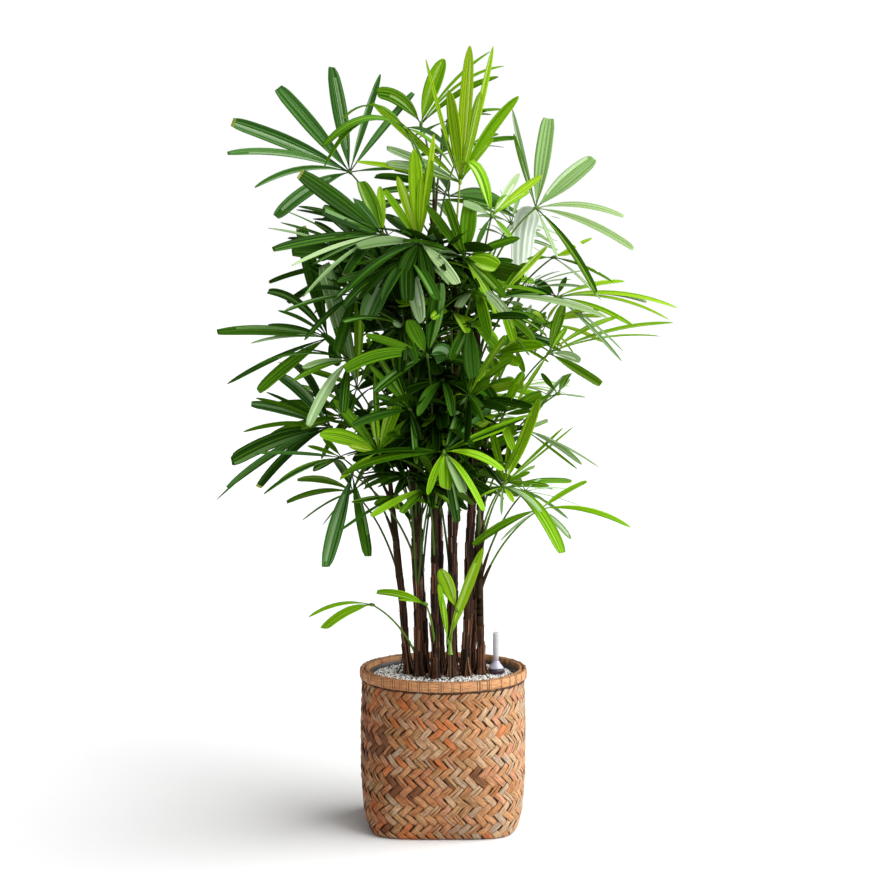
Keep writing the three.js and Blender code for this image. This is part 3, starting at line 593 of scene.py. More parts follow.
def makeLacing():
    # A thin dark cane under the rim that wanders a little, with a second one that loops along it.
    heap = Heap()
    angle = np.arange(420) / 420 * turn
    section = np.arange(6) / 6 * turn
    for reach, beat in ((0.8, 9), (1.5, 23)):
        z = rim["lacingHeight"] + reach * np.sin(beat * angle) + 0.3 * np.sin(41 * angle)
        radius = rim["lacingRadius"] + rim["lacingThick"] * (0.6 + np.cos(section)[None, :])
        radius = radius + 0 * z[:, None]
        height = z[:, None] - rim["lacingThick"] * np.sin(section)[None, :]
        points = circle(angle)[:, None] * radius[..., None] + up * height[..., None]
        heap.add(points, gridFaces(len(angle), len(section), wrap=True, closed=True))
    dark = makeMaterial("lacing", mottle, (62, 38, 24), 0.7, 0.3, {"Scale": 120.0}, 0.3)
    return makePiece("rimLacing", heap, [dark], "rim")


makeRim()
makeLacing()

# The liner, the granules in it, and the water-level gauge.
liner = {"bottom": 8.3, "bottomRadius": 130, "top": 325, "topRadius": 154, "wall": 2.4, "lip": 2.2}
granules = {
    "surface": 316.6,
    "radius": 150.2,
    "spacing": 3.7,
    "size": (1.5, 2.5),
    "tones": {  # colour and share
        "white": ((236, 234, 230), 0.40),
        "pale": ((198, 196, 192), 0.20),
        "grey": ((138, 136, 134), 0.13),
        # The black grains are partly the granules' own colour and partly painted shade among the
        # grains.
        "blackAndShade": ((36, 35, 36), 0.20),
        "sand": ((172, 152, 128), 0.07),
    },
}
gauge = {
    "x": 112,
    "y": 12,
    "ground": 317.6,
    "baseRadius": 17.6,
    "baseHeight": 10.5,
    "neckHeight": 27.5,
    "neckRadius": 7.2,
    "tubeRadius": 6.6,
    "floatRadius": 2.6,
    "stemRadius": 0.9,
    "marks": (30, 48, 66),  # heights above the neck
    "top": 406,
}


def makeLiner():
    heap = Heap()
    outside, top, wall = liner["topRadius"], liner["top"], liner["wall"]
    profile = [
        [0, liner["bottom"]],
        [liner["bottomRadius"], liner["bottom"]],
        [outside - 0.6, top - 9],
        [outside + liner["lip"], top - 8],
        [outside + liner["lip"], top],
        [outside - wall, top],
        [outside - wall - 1, top - 12],
        [liner["bottomRadius"] - wall, liner["bottom"] + wall],
        [0, liner["bottom"] + wall],
    ]
    heap.add(*turned(rounded(profile), 128))
    dark = makeMaterial("linerPlastic", mottle, (40, 37, 34), 0.5, 0.15, {"Scale": 60.0}, 0.4)
    return makePiece("linerPot", heap, [dark], "liner", ["liner_pot"])


def makeGranules():
    # A bed, and grains on it: stretched, turned icosahedra on a jittered hexagonal grid.
    random = np.random.default_rng(5)
    heap = Heap()
    bed = [
        [0, liner["bottom"] + 4],
        [liner["bottomRadius"] - 4, liner["bottom"] + 4],
        [granules["radius"], granules["surface"] - 0.5],
        [0, granules["surface"] - 0.5],
    ]
    names = list(granules["tones"])
    heap.add(*turned(bed, 96), tone=len(names))
    golden = (1 + math.sqrt(5)) / 2
    corners = unit(
        np.array(
            [
                [-1, golden, 0], [1, golden, 0], [-1, -golden, 0], [1, -golden, 0],
                [0, -1, golden], [0, 1, golden], [0, -1, -golden], [0, 1, -golden],
                [golden, 0, -1], [golden, 0, 1], [-golden, 0, -1], [-golden, 0, 1],
            ]
        )
    )
    faces = np.array(
        [
            [0, 11, 5], [0, 5, 1], [0, 1, 7], [0, 7, 10], [0, 10, 11],
            [1, 5, 9], [5, 11, 4], [11, 10, 2], [10, 7, 6], [7, 1, 8],
            [3, 9, 4], [3, 4, 2], [3, 2, 6], [3, 6, 8], [3, 8, 9],
            [4, 9, 5], [2, 4, 11], [6, 2, 10], [8, 6, 7], [9, 8, 1],
        ]
    )
    step = granules["spacing"]
    reach = int(granules["radius"] / step) + 2
    i, j = np.meshgrid(np.arange(-reach, reach), np.arange(-reach, reach))
    centres = np.stack([(i + 0.5 * (j % 2)) * step, j * step * math.sqrt(0.75)], -1).reshape(-1, 2)
    centres = centres + random.uniform(-0.35, 0.35, centres.shape) * step
    centres = centres[np.linalg.norm(centres, axis=1) < granules["radius"] - 1.5]
    count = len(centres)
    height = granules["surface"] + random.uniform(-0.9, 1.2, (count, 1))
    turns, _ = np.linalg.qr(random.normal(size=(count, 3, 3)))
    turns[np.linalg.det(turns) < 0] *= -1
    stretch = random.uniform(*granules["size"], (count, 1, 1)) * random.uniform(
        0.7, 1.2, (count, 1, 3)
    )
    points = np.einsum("nij,nkj->nki", turns, corners[None] * stretch)
    points = points + np.hstack([centres, height])[:, None]
    shares = np.cumsum([share for _, share in granules["tones"].values()])
    tones = np.searchsorted(shares / shares[-1], random.uniform(size=count))
    heap.points.append(points.reshape(-1, 3))
    heap.own.append(np.zeros((12 * count, 2)))
    offsets = heap.count + 12 * np.arange(count)
    heap.triangles.append((faces[None] + offsets[:, None, None]).reshape(-1, 3))
    heap.triangleTones.append(np.repeat(tones, 20))
    heap.count += 12 * count
    materials = [
        makeMaterial("grain_" + name, mottle, colour, 0.8, 0.3, {"Scale": 300.0}, 0.3)
        for name, (colour, _) in granules["tones"].items()
    ]
    materials.append(makeMaterial("grainBed", mottle, (70, 66, 62), 0.9, 0.5, {"Scale": 300.0}, 0.2))
    return makePiece("granuleBed", heap, materials, "granules", ["granules"], smooth=False)


def makeGauge():
    # A dark foot, a milky funnel on it, and a clear tube with a red float and plain marks.
    g = gauge
    shift = np.array([g["x"], g["y"], g["ground"]])
    base, neck, top = g["baseHeight"], g["neckHeight"], g["top"] - g["ground"]

    def piece(name, profiles, materials, slot, replaces=()):
        heap = Heap()
        for tone, profile in enumerate(profiles):
            points, quads, triangles = turned(rounded(profile), 48)
            heap.add(points + shift, quads, triangles, tone=tone)
        return makePiece(name, heap, materials, slot, replaces)

    foot = [[0, -2], [g["baseRadius"], -2], [g["baseRadius"], base - 1], [14, base], [0, base]]
    funnel = [
        [0, base - 0.5],
        [g["baseRadius"] - 1.4, base - 0.5],
        [g["baseRadius"] - 2.4, base + 4],
        [g["neckRadius"] + 0.6, neck - 4],
        [g["neckRadius"], neck],
        [0, neck],
    ]
    dark = makeMaterial("gaugeFoot", mottle, (52, 36, 54), 0.35, 0.1, {"Scale": 80.0}, 0.5)
    milky = makeMaterial("gaugeFunnel", mottle, (176, 172, 190), 0.3, 0.1, {"Scale": 80.0}, 0.5)
    piece("gaugeBase", [foot, funnel], [dark, milky], "gauge_base", ["gauge_base"])
    r = g["tubeRadius"]
    tubeProfile = [[0, neck - 1], [r, neck - 1], [r, top - 2], [r - 0.6, top], [0, top]]
    clear = makeMaterial("gaugeTube", mottle, (208, 208, 214), 0.2, 0.0, {"Strength": 0.03}, 0.5)
    shader = clear.node_tree.nodes["Principled BSDF"]
    shader.inputs["Transmission Weight"].default_value = 0.35
    shader.inputs["IOR"].default_value = 1.15
    piece("gaugeTube", [tubeProfile], [clear], "gauge_tube", ["gauge_tube"])
    wide, thin = g["floatRadius"], g["stemRadius"]
    stem = [[thin, neck + 9], [thin, neck + 16], [0, neck + 16]]
    floatProfile = [[0, neck], [wide, neck], [wide, neck + 8], *stem]
    red = makeMaterial("gaugeFloat", mottle, (176, 44, 34), 0.4, 0.0, {"Strength": 0.05}, 0.5)
    piece("gaugeFloat", [floatProfile], [red], "gauge_tube")
    marks = Heap()
    across = np.linspace(-0.55, 0.55, 7)
    for height in g["marks"]:
        front = np.stack([np.sin(across), -np.cos(across)], -1)
        rings = [
            np.hstack([front * (r + out), np.full((7, 1), neck + height + level)]) + shift
            for out, level in ((0.05, -0.6), (0.05, 0.6), (0.3, 0.6), (0.3, -0.6))
        ]
        section = np.stack(rings, 1)
        ends = np.array([[3, 2, 1, 0], [24, 25, 26, 27]])
        marks.add(section, np.vstack([gridFaces(7, 4, wrap=True), ends]))
    yellow = makeMaterial("gaugeMark", mottle, (206, 196, 110), 0.5, 0.0, {"Strength": 0.05}, 0.4)
    return makePiece("gaugeMarks", marks, [yellow], "gauge_tube")


makeLiner()
makeGranules()
makeGauge()

# The plant. Each cane: its foot, the tip of the sheath above its bare part, the height where the
# bare part ends, and its radius.
ground = 318.3
canes = [
    ((-73, 5), (-122, 0, 830), 590, 9),
    ((-52, -15), (-66, -30, 960), 690, 9.5),
    ((-38, 22), (-85, 40, 1230), 950, 9.5),
    ((-17, -40), (-20, -50, 860), 600, 9),
    ((-8, 8), (-20, 12, 1390), 1000, 11),
    ((16, -22), (25, -30, 1230), 930, 10),
    ((20, 35), (25, 70, 1200), 980, 10),
    ((47, -10), (75, -15, 1180), 1000, 10),
    ((58, 22), (95, 40, 960), 730, 9.5),
    ((79, 0), (75, -20, 700), 490, 8.5),
    ((14, -64), (14, -66, 400), 372, 6.5),
]
caneLook = {
    "sides": 36,
    "spacing": 3.0,
    "sheath": (24, 46),  # from one sheath's mouth to the next
    "slant": 7,  # of a mouth, up and down
    "step": 1.5,  # how far a mouth stands out
    "ridge": 0.5,
    "tones": {  # colour and share of the fibres
        "dark": ((28, 17, 11), 0.56),
        "brown": ((72, 46, 30), 0.26),
        "red": ((94, 56, 34), 0.10),
        "tan": ((142, 104, 76), 0.06),
    },
    "palerCanes": {8: 0.5, 9: 0.7, 10: 0.9},  # how much more tan near the foot
    "palerHeight": 160,
    "fibres": 5,  # loose ones at each mouth
    "strips": 4,  # torn strips of old sheath on each cane
    "roots": 3,  # at each cane's foot
    "fibreLength": (9, 26),
    "fibreCurl": (-7, 7),
    "fibreAway": (2, 7),
    "stripLength": (28, 55),
    "stripAway": (1.5, 6),
    "stripRadius": (1.6, 2.8),
    "rootHeight": (25, 95),
    "rootAway": (5, 13),
    "rootRadius": (1.3, 2.1),
}


def canePoint(number, z):
    # The cane's centre at a height: a straight lean from foot to tip.
    foot, tip, _, _ = canes[number - 1]
    z = np.asarray(z, float)
    share = (z - ground) / (tip[2] - ground)
    x = foot[0] + (tip[0] - foot[0]) * share
    return np.stack([x, foot[1] + (tip[1] - foot[1]) * share, z], -1)


def caneRadius(number, z):
    # The cane's radius at a height: a flared foot, then an even taper.
    _, _, bare, radius = canes[number - 1]
    z = np.asarray(z, float)
    flare = 0.6 * np.exp(-3 * (z - ground) / 45)
    return radius * (1 + flare - 0.2 * (z - ground) / (bare - ground))


def caneMaterials():
    fibres = {"Scale": 420.0, "Strength": 0.45, "Stretch": (1, 1, 0.07)}
    return [
        makeMaterial("fibre_" + name, mottle, colour, 0.85, 0.8, fibres, 0.2)
        for name, (colour, _) in caneLook["tones"].items()
    ]


def makeCane(number, materials):
    # Old leaf sheaths that wrap the cane: each widens to its slanted mouth, and the next one
    # comes out of it. Ridges and tones run lengthwise, one for each sheath and column.
    _, _, bare, _ = canes[number - 1]
    random = np.random.default_rng(40 + number)
    sides = caneLook["sides"]
    angle = np.arange(sides) / sides * turn
    z = np.append(np.arange(ground + 0.3, bare - 1, caneLook["spacing"]), bare)
    mouths = ground - 20 + np.cumsum(random.uniform(*caneLook["sheath"], 60))
    mouths = mouths[: np.searchsorted(mouths, bare) + 2]
    lean = random.uniform(0, turn, len(mouths))
    heights = mouths[:, None] + caneLook["slant"] * np.cos(angle[None, :] - lean[:, None])
    index = np.clip((z[:, None, None] > heights[None]).sum(1), 1, len(mouths) - 1)
    column = np.arange(sides)[None, :]
    low, high = heights[index - 1, column], heights[index, column]
    rise = np.clip((z[:, None] - low) / (high - low), 0, 1)
    ridges = random.uniform(-1, 1, (len(mouths), sides))
    lobes = 0.12 * np.cos(5 * angle + number) * np.exp(-(z[:, None] - ground) / 22)
    radius = caneRadius(number, z)[:, None] * (1 + lobes)
    radius = radius + caneLook["step"] * (rise - 0.6) + caneLook["ridge"] * ridges[index, column]
    wander = 1.2 * np.stack([np.sin(z / 37 + number), np.cos(z / 53 + number), 0 * z], -1)
    held = np.clip((z - ground) / 60, 0, 1) * np.clip((bare - z) / 40, 0, 1)
    wander = wander * held[:, None]
    centre = canePoint(number, z) + wander
    rings = centre[:, None] + circle(angle)[None] * radius[..., None]
    shares = np.cumsum([share for _, share in caneLook["tones"].values()])
    paler = caneLook["palerCanes"].get(number, 0) * (mouths < ground + caneLook["palerHeight"])[:, None]
    chance = random.uniform(size=(len(mouths), sides))
    tones = np.searchsorted(shares / shares[-1], 1 - (1 - chance) * (1 - 0.8 * paler * chance))
    faceTones = tones[index, column][:-1].ravel()
    heap = Heap()
    points, quads, triangles = capped(rings)
    heap.add(points, quads, tone=faceTones)
    heap.triangles.append(triangles)
    heap.triangleTones.append(np.zeros(len(triangles), int))
    addFibres(heap, number, mouths[mouths < bare - 5], random)
    addRoots(heap, number, random)
    return makePiece("cane_%d_bark" % number, heap, materials, "cane", ["cane_%d" % number])


def addFibres(heap, number, mouths, random):
    # Loose fibres that curl up and out of the mouths, and a few torn strips that stand off.
    look = caneLook
    sizes = ("fibreLength", "fibreCurl", "fibreAway")
    share = np.linspace(0, 1, 6)[:, None]
    for mouth in mouths[mouths > ground + 8]:
        for _ in range(look["fibres"]):
            out = circle(random.uniform(0, turn))
            side = np.cross(up, out)
            start = canePoint(number, mouth - 4) + out * (caneRadius(number, mouth) - 0.6)
            length, curl, away = (random.uniform(*look[key]) for key in sizes)
            path = start + up * length * share + out * away * share**1.5
            path = path + side * curl * np.sin(share * 3.0)
            heap.add(*tube(path, 0.36 - 0.22 * share[:, 0], 3), tone=random.integers(0, 4))
    for _ in range(look["strips"]):
        out = circle(random.uniform(0, turn))
        z = random.uniform(ground + 20, max(mouths[-1] - 50, ground + 30))
        reach = random.uniform(*look["stripLength"])
        heights = z + reach * share[:, 0]
        base = canePoint(number, heights) + out * (caneRadius(number, heights)[:, None] + 0.4)
        path = base + out * random.uniform(*look["stripAway"]) * share**2
        radii = random.uniform(*look["stripRadius"]) * np.sin(0.35 + 2.5 * share[:, 0])
        heap.add(*tube(path, radii, 6, out), tone=random.integers(2, 4))


def addRoots(heap, number, random):
    # Roots that leave the cane's foot and run down into the granules beside it.
    look = caneLook
    share = np.linspace(0, 1, 8)[:, None]
    for _ in range(look["roots"]):
        out = circle(random.uniform(0, turn))
        start = ground + random.uniform(*look["rootHeight"])
        z = start + (ground - 2 - start) * share[:, 0]
        away = random.uniform(*look["rootAway"]) * share**2.5
        away = caneRadius(number, z)[:, None] - 1 + away
        sideways = np.cross(up, out) * random.uniform(-6, 6) * share
        path = canePoint(number, z) + out * away + sideways
        radii = random.uniform(*look["rootRadius"]) * (0.75 + 0.25 * share[:, 0])
        heap.add(*tube(path, radii, 7), tone=random.integers(1, 4))


barks = caneMaterials()
for caneNumber in range(1, len(canes)):
    makeCane(caneNumber, barks)

# The fronds. Each row: its cane, the height where its stalk leaves it, the stalk's heading, reach
# and rise, the heading and pitch of the fan's axis and of its upper face, its tone, and its
# leaflets: where the tip shows in the front view, the width there, the droop and, where it
# differs, the tone. The front view is a square of 890 units, counted from its upper left.
fronds = [
    # The left side, from the top.
    (3, 1120, 179, 117, 258, (180, 49), (270, 10), "blue", [
        (275, 216, 13, 0.7), (255, 188, 5.5, 0.9), (227, 148, 7, 0.45), (232, 122, 13, 0.2),
        (277, 89, 14, 0.15), (332, 67, 14, 0.1), (380, 74, 7, 0.1), (411, 91, 7, 0.1),
        (400, 169, 3, 0.2),
    ]),
    (3, 1000, 236, 91, 248, (190, 25), (270, 40), "deep", [
        (298, 176, 17, 0.15), (362, 181, 14, 0.3, "mid"), (379, 186, 9, 0.2, "bright"),
        (275, 253, 8, 0.35), (292, 266, 4, 0.3, "pale"), (315, 267, 4, 0.4),
        (303, 297, 3.5, 0.6, "grey"), (345, 275, 9, 0.7), (322, 211, 19, 0.1),
        (356, 199, 8, 0.1, "blue"), (331, 247, 12, 0.4, "shade"), (318, 258, 9, 0.5, "shade"),
        (345, 222, 13, 0.2), (388, 262, 12, 0.6, "shade"),
    ]),
    (3, 970, 250, 105, 205, (195, 15), (262, 50), "deep", [
        (369, 320, 21, 0.8, "blue"), (344, 307, 9, 0.5), (338, 283, 8, 0.3), (292, 252, 12, 0.4),
        (322, 211, 15, 0.2), (268, 229, 5, 0.4, "grey"), (282, 220, 5, 0.3),
        (283, 212, 6, 0.3, "mid"), (352, 198, 8, 0.2, "blue"), (305, 246, 12, 0.4, "shade"),
        (352, 225, 14, 0.2), (368, 292, 12, 0.6, "shade"), (398, 300, 11, 0.7, "shade"),
        (330, 300, 6, 0.6),
    ]),
    (2, 870, 181, 176, 163, (180, 15), (270, 25), "deep", [
        (217, 331, 10, 0.3), (268, 291, 7, 0.8), (278, 310, 4, 0.5), (268, 327, 4, 0.5),
        (250, 341, 4, 0.4, "grey"), (229, 386, 5, 0.35), (258, 391, 11, 0.35, "mid"),
        (298, 227, 13, 0.1), (338, 366, 10, 0.3),
    ]),
    (2, 800, 210, 150, 190, (185, 25), (268, 45), "deep", [
        (309, 426, 10, 0.9, "grey"), (255, 367, 3, 0.8), (303, 369, 7, 0.4, "grey"),
        (292, 381, 6, 0.5, "mid"), (322, 332, 8, 0.1), (296, 350, 3, 0.4), (341, 412, 8, 0.4),
        (330, 318, 5, 0.1, "mid"),
    ]),
    (1, 760, 218, 81, 170, (190, 50), (265, 20), "grey", [
        (326, 264, 18, 0.15), (361, 276, 10, 0.1, "fresh"), (303, 372, 6, 0.4, "mid"),
        (330, 408, 8, 0.4, "deep"), (384, 343, 7, 0.1, "mid"), (346, 422, 7, 0.4, "deep"),
    ]),
    (1, 680, 181, 130, 165, (180, 5), (265, 40), "deep", [
        (251, 404, 11, 0.35, "blue"), (243, 430, 5, 0.5, "mid"), (230, 459, 13, 0.45),
        (217, 500, 3, 0.6), (230, 490, 7, 0.6, "blue"), (258, 487, 7, 0.8),
        (278, 378, 11, 0.5, "blue"), (283, 362, 8, 0.9), (256, 398, 5, 0.3, "mid"),
        (265, 394, 4, 0.3), (282, 428, 4, 0.6, "fresh"),
    ]),
    (1, 600, 220, 142, 188, (185, 10), (268, 48), "deep", [
        (265, 495, 4, 0.7), (278, 482, 5, 0.6, "mid"), (255, 452, 6, 0.2, "blue"),
        (322, 438, 6, 0.3, "mid"), (308, 445, 5, 0.2, "mid"), (312, 470, 7, 0.4),
    ]),
    (2, 560, 192, 136, 190, (225, -65), (258, 20), "grey", [
        (322, 566, 15, 0.1, "blue"), (369, 556, 9, 0.1, "deep"), (343, 529, 3, 0.1, "deep"),
    ]),
    (2, 350, 199, 102, 125, (190, 12), (270, 60), "fresh", [
        (308, 616, 5, 0.8), (325, 629, 14, 0.9),
    ]),
    (3, 900, 221, 150, 225, (190, 20), (266, 40), "deep", [
        (338, 351, 9, 0.3), (303, 339, 6, 0.4), (283, 312, 5, 0.4), (331, 240, 10, 0.2),
        (308, 262, 10, 0.3), (372, 262, 10, 0.2), (322, 272, 9, 0.4, "shade"),
        (352, 238, 13, 0.1, "shade"), (392, 262, 11, 0.2, "shade"), (300, 290, 5, 0.6),
        (372, 330, 11, 0.5, "shade"),
    ]),
    # The middle.
    (5, 1230, 233, 100, 234, (225, 14), (264, 34), "fresh", [
        (342, 120, 8, 1.5, "mid"), (326, 147, 10, 1.3, "mid"), (321, 168, 5, 2, "mid"),
        (452, 166, 8, 0.9, "mid"), (459, 161, 7, 0.9, "deep"), (425, 172, 4, 1.2, "deep"),
    ]),
    (5, 1330, 132, 41, 148, (0, 72), (270, 5), "fresh", [
        (442, 58, 15, 0.4), (377, 93, 13, 0.9, "mid"), (490, 51, 3, 0.5), (503, 62, 3, 0.7),
        (499, 80, 6, 0.6, "mid"),
    ]),
    (6, 1180, 62, 22, 175, (0, 80), (270, 0), "young", [
        (470, 46, 12, 0.03), (499, 48, 6, 0.03, "bright"), (516, 94, 10, 0.4, "fresh"),
        (494, 140, 5, 0.4, "fresh"), (452, 90, 12, 0.03), (441, 128, 3, 0.1, "deep"),
        (482, 92, 10, 0.03, "bright"), (421, 61, 4, 0.05), (372, 103, 8, 0.1, "bright"),
        (356, 161, 5, 0.2, "bright"), (387, 147, 8, 0.2, "grey"), (387, 160, 8, 0.3, "grey"),
    ]),
    (5, 1010, 240, 67, 220, (180, 86), (270, 0), "young", [
        (414, 149, 14, 0.03, "bright"), (399, 176, 9, 0.03), (428, 160, 10, 0.03, "fresh"),
        (422, 178, 8, 0.03, "bright"), (385, 190, 7, 0.1, "fresh"), (437, 135, 6, 0.03),
    ]),
    (5, 1040, 255, 118, 190, (255, -22), (270, 48), "deep", [
        (454, 284, 11, 0.4, "pale"), (380, 262, 13, 0.9), (440, 268, 8, 0.6), (344, 292, 9, 0.6),
        (372, 228, 12, 0.5, "shade"), (402, 282, 13, 0.8, "shade"), (428, 292, 12, 0.8, "shade"),
        (452, 232, 11, 0.3), (386, 214, 10, 0.2),
    ]),
    (5, 1040, 255, 118, 190, (180, 5), (270, 50), "grey", [
        (357, 246, 14, 0.5),
    ]),
    (5, 960, 247, 140, 241, (270, -15), (270, 50), "deep", [
        (448, 285, 7, 1, "grey"), (352, 265, 9, 0.3), (434, 300, 10, 0.6), (385, 300, 9, 0.6),
        (470, 268, 7, 0.4, "mid"), (360, 300, 12, 0.6, "shade"), (458, 250, 12, 0.3, "shade"),
        (405, 300, 13, 0.8, "shade"), (368, 244, 13, 0.3, "shade"),
    ]),
    (5, 960, 247, 140, 241, (275, -60), (275, 30), "grey", [
        (418, 323, 14, 0.3),
    ]),
    (6, 980, 284, 85, 219, (20, 70), (270, 15), "mid", [
        (496, 314, 9, 0.5, "fresh"), (497, 268, 17, 0.5, "fresh"), (426, 206, 9, 0.2),
        (472, 202, 15, 0.1), (403, 240, 8, 0.3, "deep"), (520, 240, 8, 0.3), (506, 298, 9, 0.5),
        (448, 200, 9, 0.1), (438, 255, 8, 0.5, "grey"),
    ]),
    (6, 940, 310, 70, 200, (300, -10), (270, 50), "pale", [
        (457, 307, 14, 0.8), (383, 301, 6, 0.4, "mid"), (425, 324, 9, 0.5, "deep"),
        (508, 320, 9, 0.6), (547, 294, 6, 0.4, "mid"), (486, 340, 11, 0.4, "mid"),
    ]),
    (4, 800, 263, 102, 201, (180, 70), (270, 30), "mid", [
        (344, 368, 11, 0.8), (442, 284, 14, 0.1, "deep"), (408, 320, 14, 0.1),
        (447, 358, 20, 1.2, "blue"), (366, 336, 7, 0.2), (492, 368, 7, 0.4, "deep"),
        (375, 392, 8, 0.5, "deep"),
    ]),
    (4, 720, 235, 85, 170, (215, 30), (268, 40), "mid", [
        (366, 340, 7, 0.2), (383, 330, 8, 0.1), (368, 366, 6, 0.2), (376, 395, 7, 0.2, "deep"),
        (418, 464, 7, 0.3, "deep"), (355, 428, 8, 0.3, "deep"), (430, 345, 9, 0.1, "deep"),
        (445, 380, 11, 0.3, "shade"), (395, 372, 11, 0.1, "shade"), (420, 440, 11, 0.4, "shade"),
    ]),
    (2, 640, 233, 123, 163, (190, 45), (270, 25), "fresh", [
        (402, 393, 14, 0.05), (374, 410, 8, 0.1), (355, 414, 4, 0.1, "mid"),
        (335, 398, 10, 0.1, "mid"), (320, 431, 14, 0.4), (376, 370, 6, 0.05, "mid"),
        (349, 447, 6, 0.1, "young"), (340, 480, 5, 0.4), (410, 418, 8, 0.1, "mid"),
    ]),
    (4, 640, 279, 126, 168, (270, -38), (270, 52), "fresh", [
        (341, 474, 19, 0.6, "mid"), (355, 453, 9, 0.3, "deep"), (447, 489, 13, 1.2),
        (464, 492, 12, 0.7, "grey"), (428, 495, 7, 0.6), (483, 511, 8, 0.9), (503, 471, 11, 1),
        (505, 392, 7, 0.1, "blue"), (530, 412, 6, 0.2), (484, 384, 15, 0.15, "deep"),
        (505, 428, 8, 0.2), (526, 421, 5, 0.2, "deep"),
    ]),
    (4, 640, 279, 126, 168, (275, -70), (275, 20), "deep", [
        (457, 522, 8, 0.3),
    ]),
    (2, 600, 240, 80, 110, (205, -10), (262, 42), "mid", [
        (398, 499, 9, 0.9, "fresh"), (375, 505, 7, 0.2), (338, 534, 3, 0.2, "deep"),
        (439, 507, 4, 0.4, "fresh"), (352, 503, 5, 0.2), (410, 520, 5, 0.4, "deep"),
    ]),
    (4, 380, 252, 62, 105, (180, 15), (270, 60), "bright", [
        (377, 591, 14, 0.5, "fresh"), (398, 600, 3, 0.3, "fresh"),
    ]),
    (2, 860, 259, 104, 205, (250, 5), (268, 38), "deep", [
        (395, 326, 9, 0.6, "grey"), (342, 322, 9, 0.4), (352, 300, 8, 0.3), (441, 345, 7, 0.4),
        (380, 300, 11, 0.2, "shade"),
    ]),
    (2, 860, 259, 104, 205, (270, -60), (270, 30), "deep", [
        (379, 344, 9, 0.3), (416, 362, 9, 0.3), (365, 362, 11, 0.5, "shade"),
        (400, 372, 12, 0.5, "shade"),
    ]),
    (6, 860, 285, 128, 210, (290, 0), (270, 36), "mid", [
        (434, 323, 8, 0.1), (487, 326, 12, 0.2), (527, 319, 8, 0.4, "deep"), (512, 292, 9, 0.3),
        (414, 352, 7, 0.5, "deep"), (500, 300, 10, 0.2),
    ]),
    (6, 860, 285, 128, 210, (280, -60), (280, 30), "deep", [
        (499, 350, 9, 0.5, "mid"), (470, 378, 13, 0.6), (451, 360, 9, 0.5),
    ]),
    (6, 720, 285, 118, 200, (300, 20), (268, 30), "mid", [
        (478, 345, 10, 0.2), (505, 335, 10, 0.2, "fresh"), (512, 362, 8, 0.3),
        (446, 410, 10, 0.4, "deep"), (485, 420, 8, 0.4), (457, 352, 8, 0.1, "deep"),
        (430, 372, 12, 0.2, "shade"), (490, 380, 10, 0.2), (468, 440, 12, 0.4, "shade"),
    ]),
    (4, 560, 262, 96, 172, (262, -30), (270, 45), "mid", [
        (371, 516, 8, 0.3, "fresh"), (462, 512, 6, 0.3), (432, 508, 7, 0.3, "deep"),
        (402, 513, 7, 0.3), (450, 478, 7, 0.3, "deep"),
    ]),
    # The young shoot.
    (11, 385, 200, 5, 14, (0, 88), (270, 0), "bright", [
        (481, 547, 10, 0.05), (441, 584, 6, 0.05, "fresh"), (444, 597, 5, 0.05, "fresh"),
    ]),
    (11, 385, 350, 14, 82, (180, 60), (270, 0), "bright", [
        (440, 569, 14, 0.1),
    ]),
    # The right side, from the top.
    (8, 1100, 357, 120, 202, (0, 5), (270, 40), "pale", [
        (509, 110, 5, 0.08, "grey"), (511, 134, 4.5, 0.1, "mid"), (548, 118, 15, 0.1, "sage"),
        (595, 159, 16, 0.2, "sage"), (624, 215, 8, 0.6), (632, 250, 8, 0.6),
        (598, 272, 7, 0.7, "white"), (600, 291, 6.5, 0.5, "mid"), (556, 259, 4, 0.4),
    ]),
    # A leaflet that hangs in the light: its near-white tone is a painted highlight.
    (8, 1100, 357, 120, 202, (205, 35), (25, 55), "white", [
        (517, 277, 23, 4.5),
    ]),
    (8, 1080, 293, 71, 205, (200, 62), (300, 20), "pale", [
        (456, 168, 18, 1.2, "fresh"), (541, 174, 8, 0.1, "young"), (520, 174, 7, 0.1),
        (510, 197, 11, 0.4, "mid"), (476, 245, 5, 0.3, "deep"), (514, 243, 8, 0.3, "mid"),
        (530, 190, 4, 0.1, "fresh"), (463, 204, 7, 0.3, "grey"),
    ]),
    (9, 860, 350, 151, 257, (355, 10), (285, 46), "bright", [
        (677, 308, 8, 0.6), (669, 319, 3, 0.7), (646, 303, 7, 0.6, "pale"),
        (634, 327, 5, 0.5, "fresh"), (625, 283, 5, 0.5), (621, 361, 4, 0.3, "grey"),
        (623, 351, 2.5, 0.3, "grey"), (585, 311, 2.5, 0.3, "grey"), (503, 296, 12, 0.7, "deep"),
        (566, 277, 6, 0.2, "deep"), (534, 281, 7, 0.3, "deep"),
    ]),
    (9, 800, 356, 65, 218, (10, 45), (280, 20), "fresh", [
        (519, 305, 12, 0.05, "mid"), (532, 305, 5, 0.1, "pale"), (547, 313, 6, 0.1, "mid"),
        (545, 322, 5, 0.1), (550, 361, 3, 0.1), (523, 373, 6, 0.1), (496, 372, 9, 0.1),
    ]),
    (9, 740, 330, 158, 262, (345, 18), (282, 35), "fresh", [
        (562, 303, 12, 0.1, "mid"), (567, 327, 6, 0.2), (620, 318, 5, 0.5), (672, 327, 4, 0.5),
        (660, 337, 3, 0.5), (599, 386, 8, 0.2, "mid"), (581, 360, 8, 0.5, "pale"),
        (517, 400, 6, 0.1),
    ]),
    (8, 930, 305, 85, 190, (0, 20), (276, 50), "mid", [
        (606, 319, 7, 0.5, "pale"), (485, 265, 10, 0.2), (524, 262, 9, 0.2),
        (548, 246, 6, 0.1, "bright"), (540, 292, 9, 0.3, "deep"), (456, 284, 8, 0.3),
        (513, 341, 9, 0.3, "fresh"),
    ]),
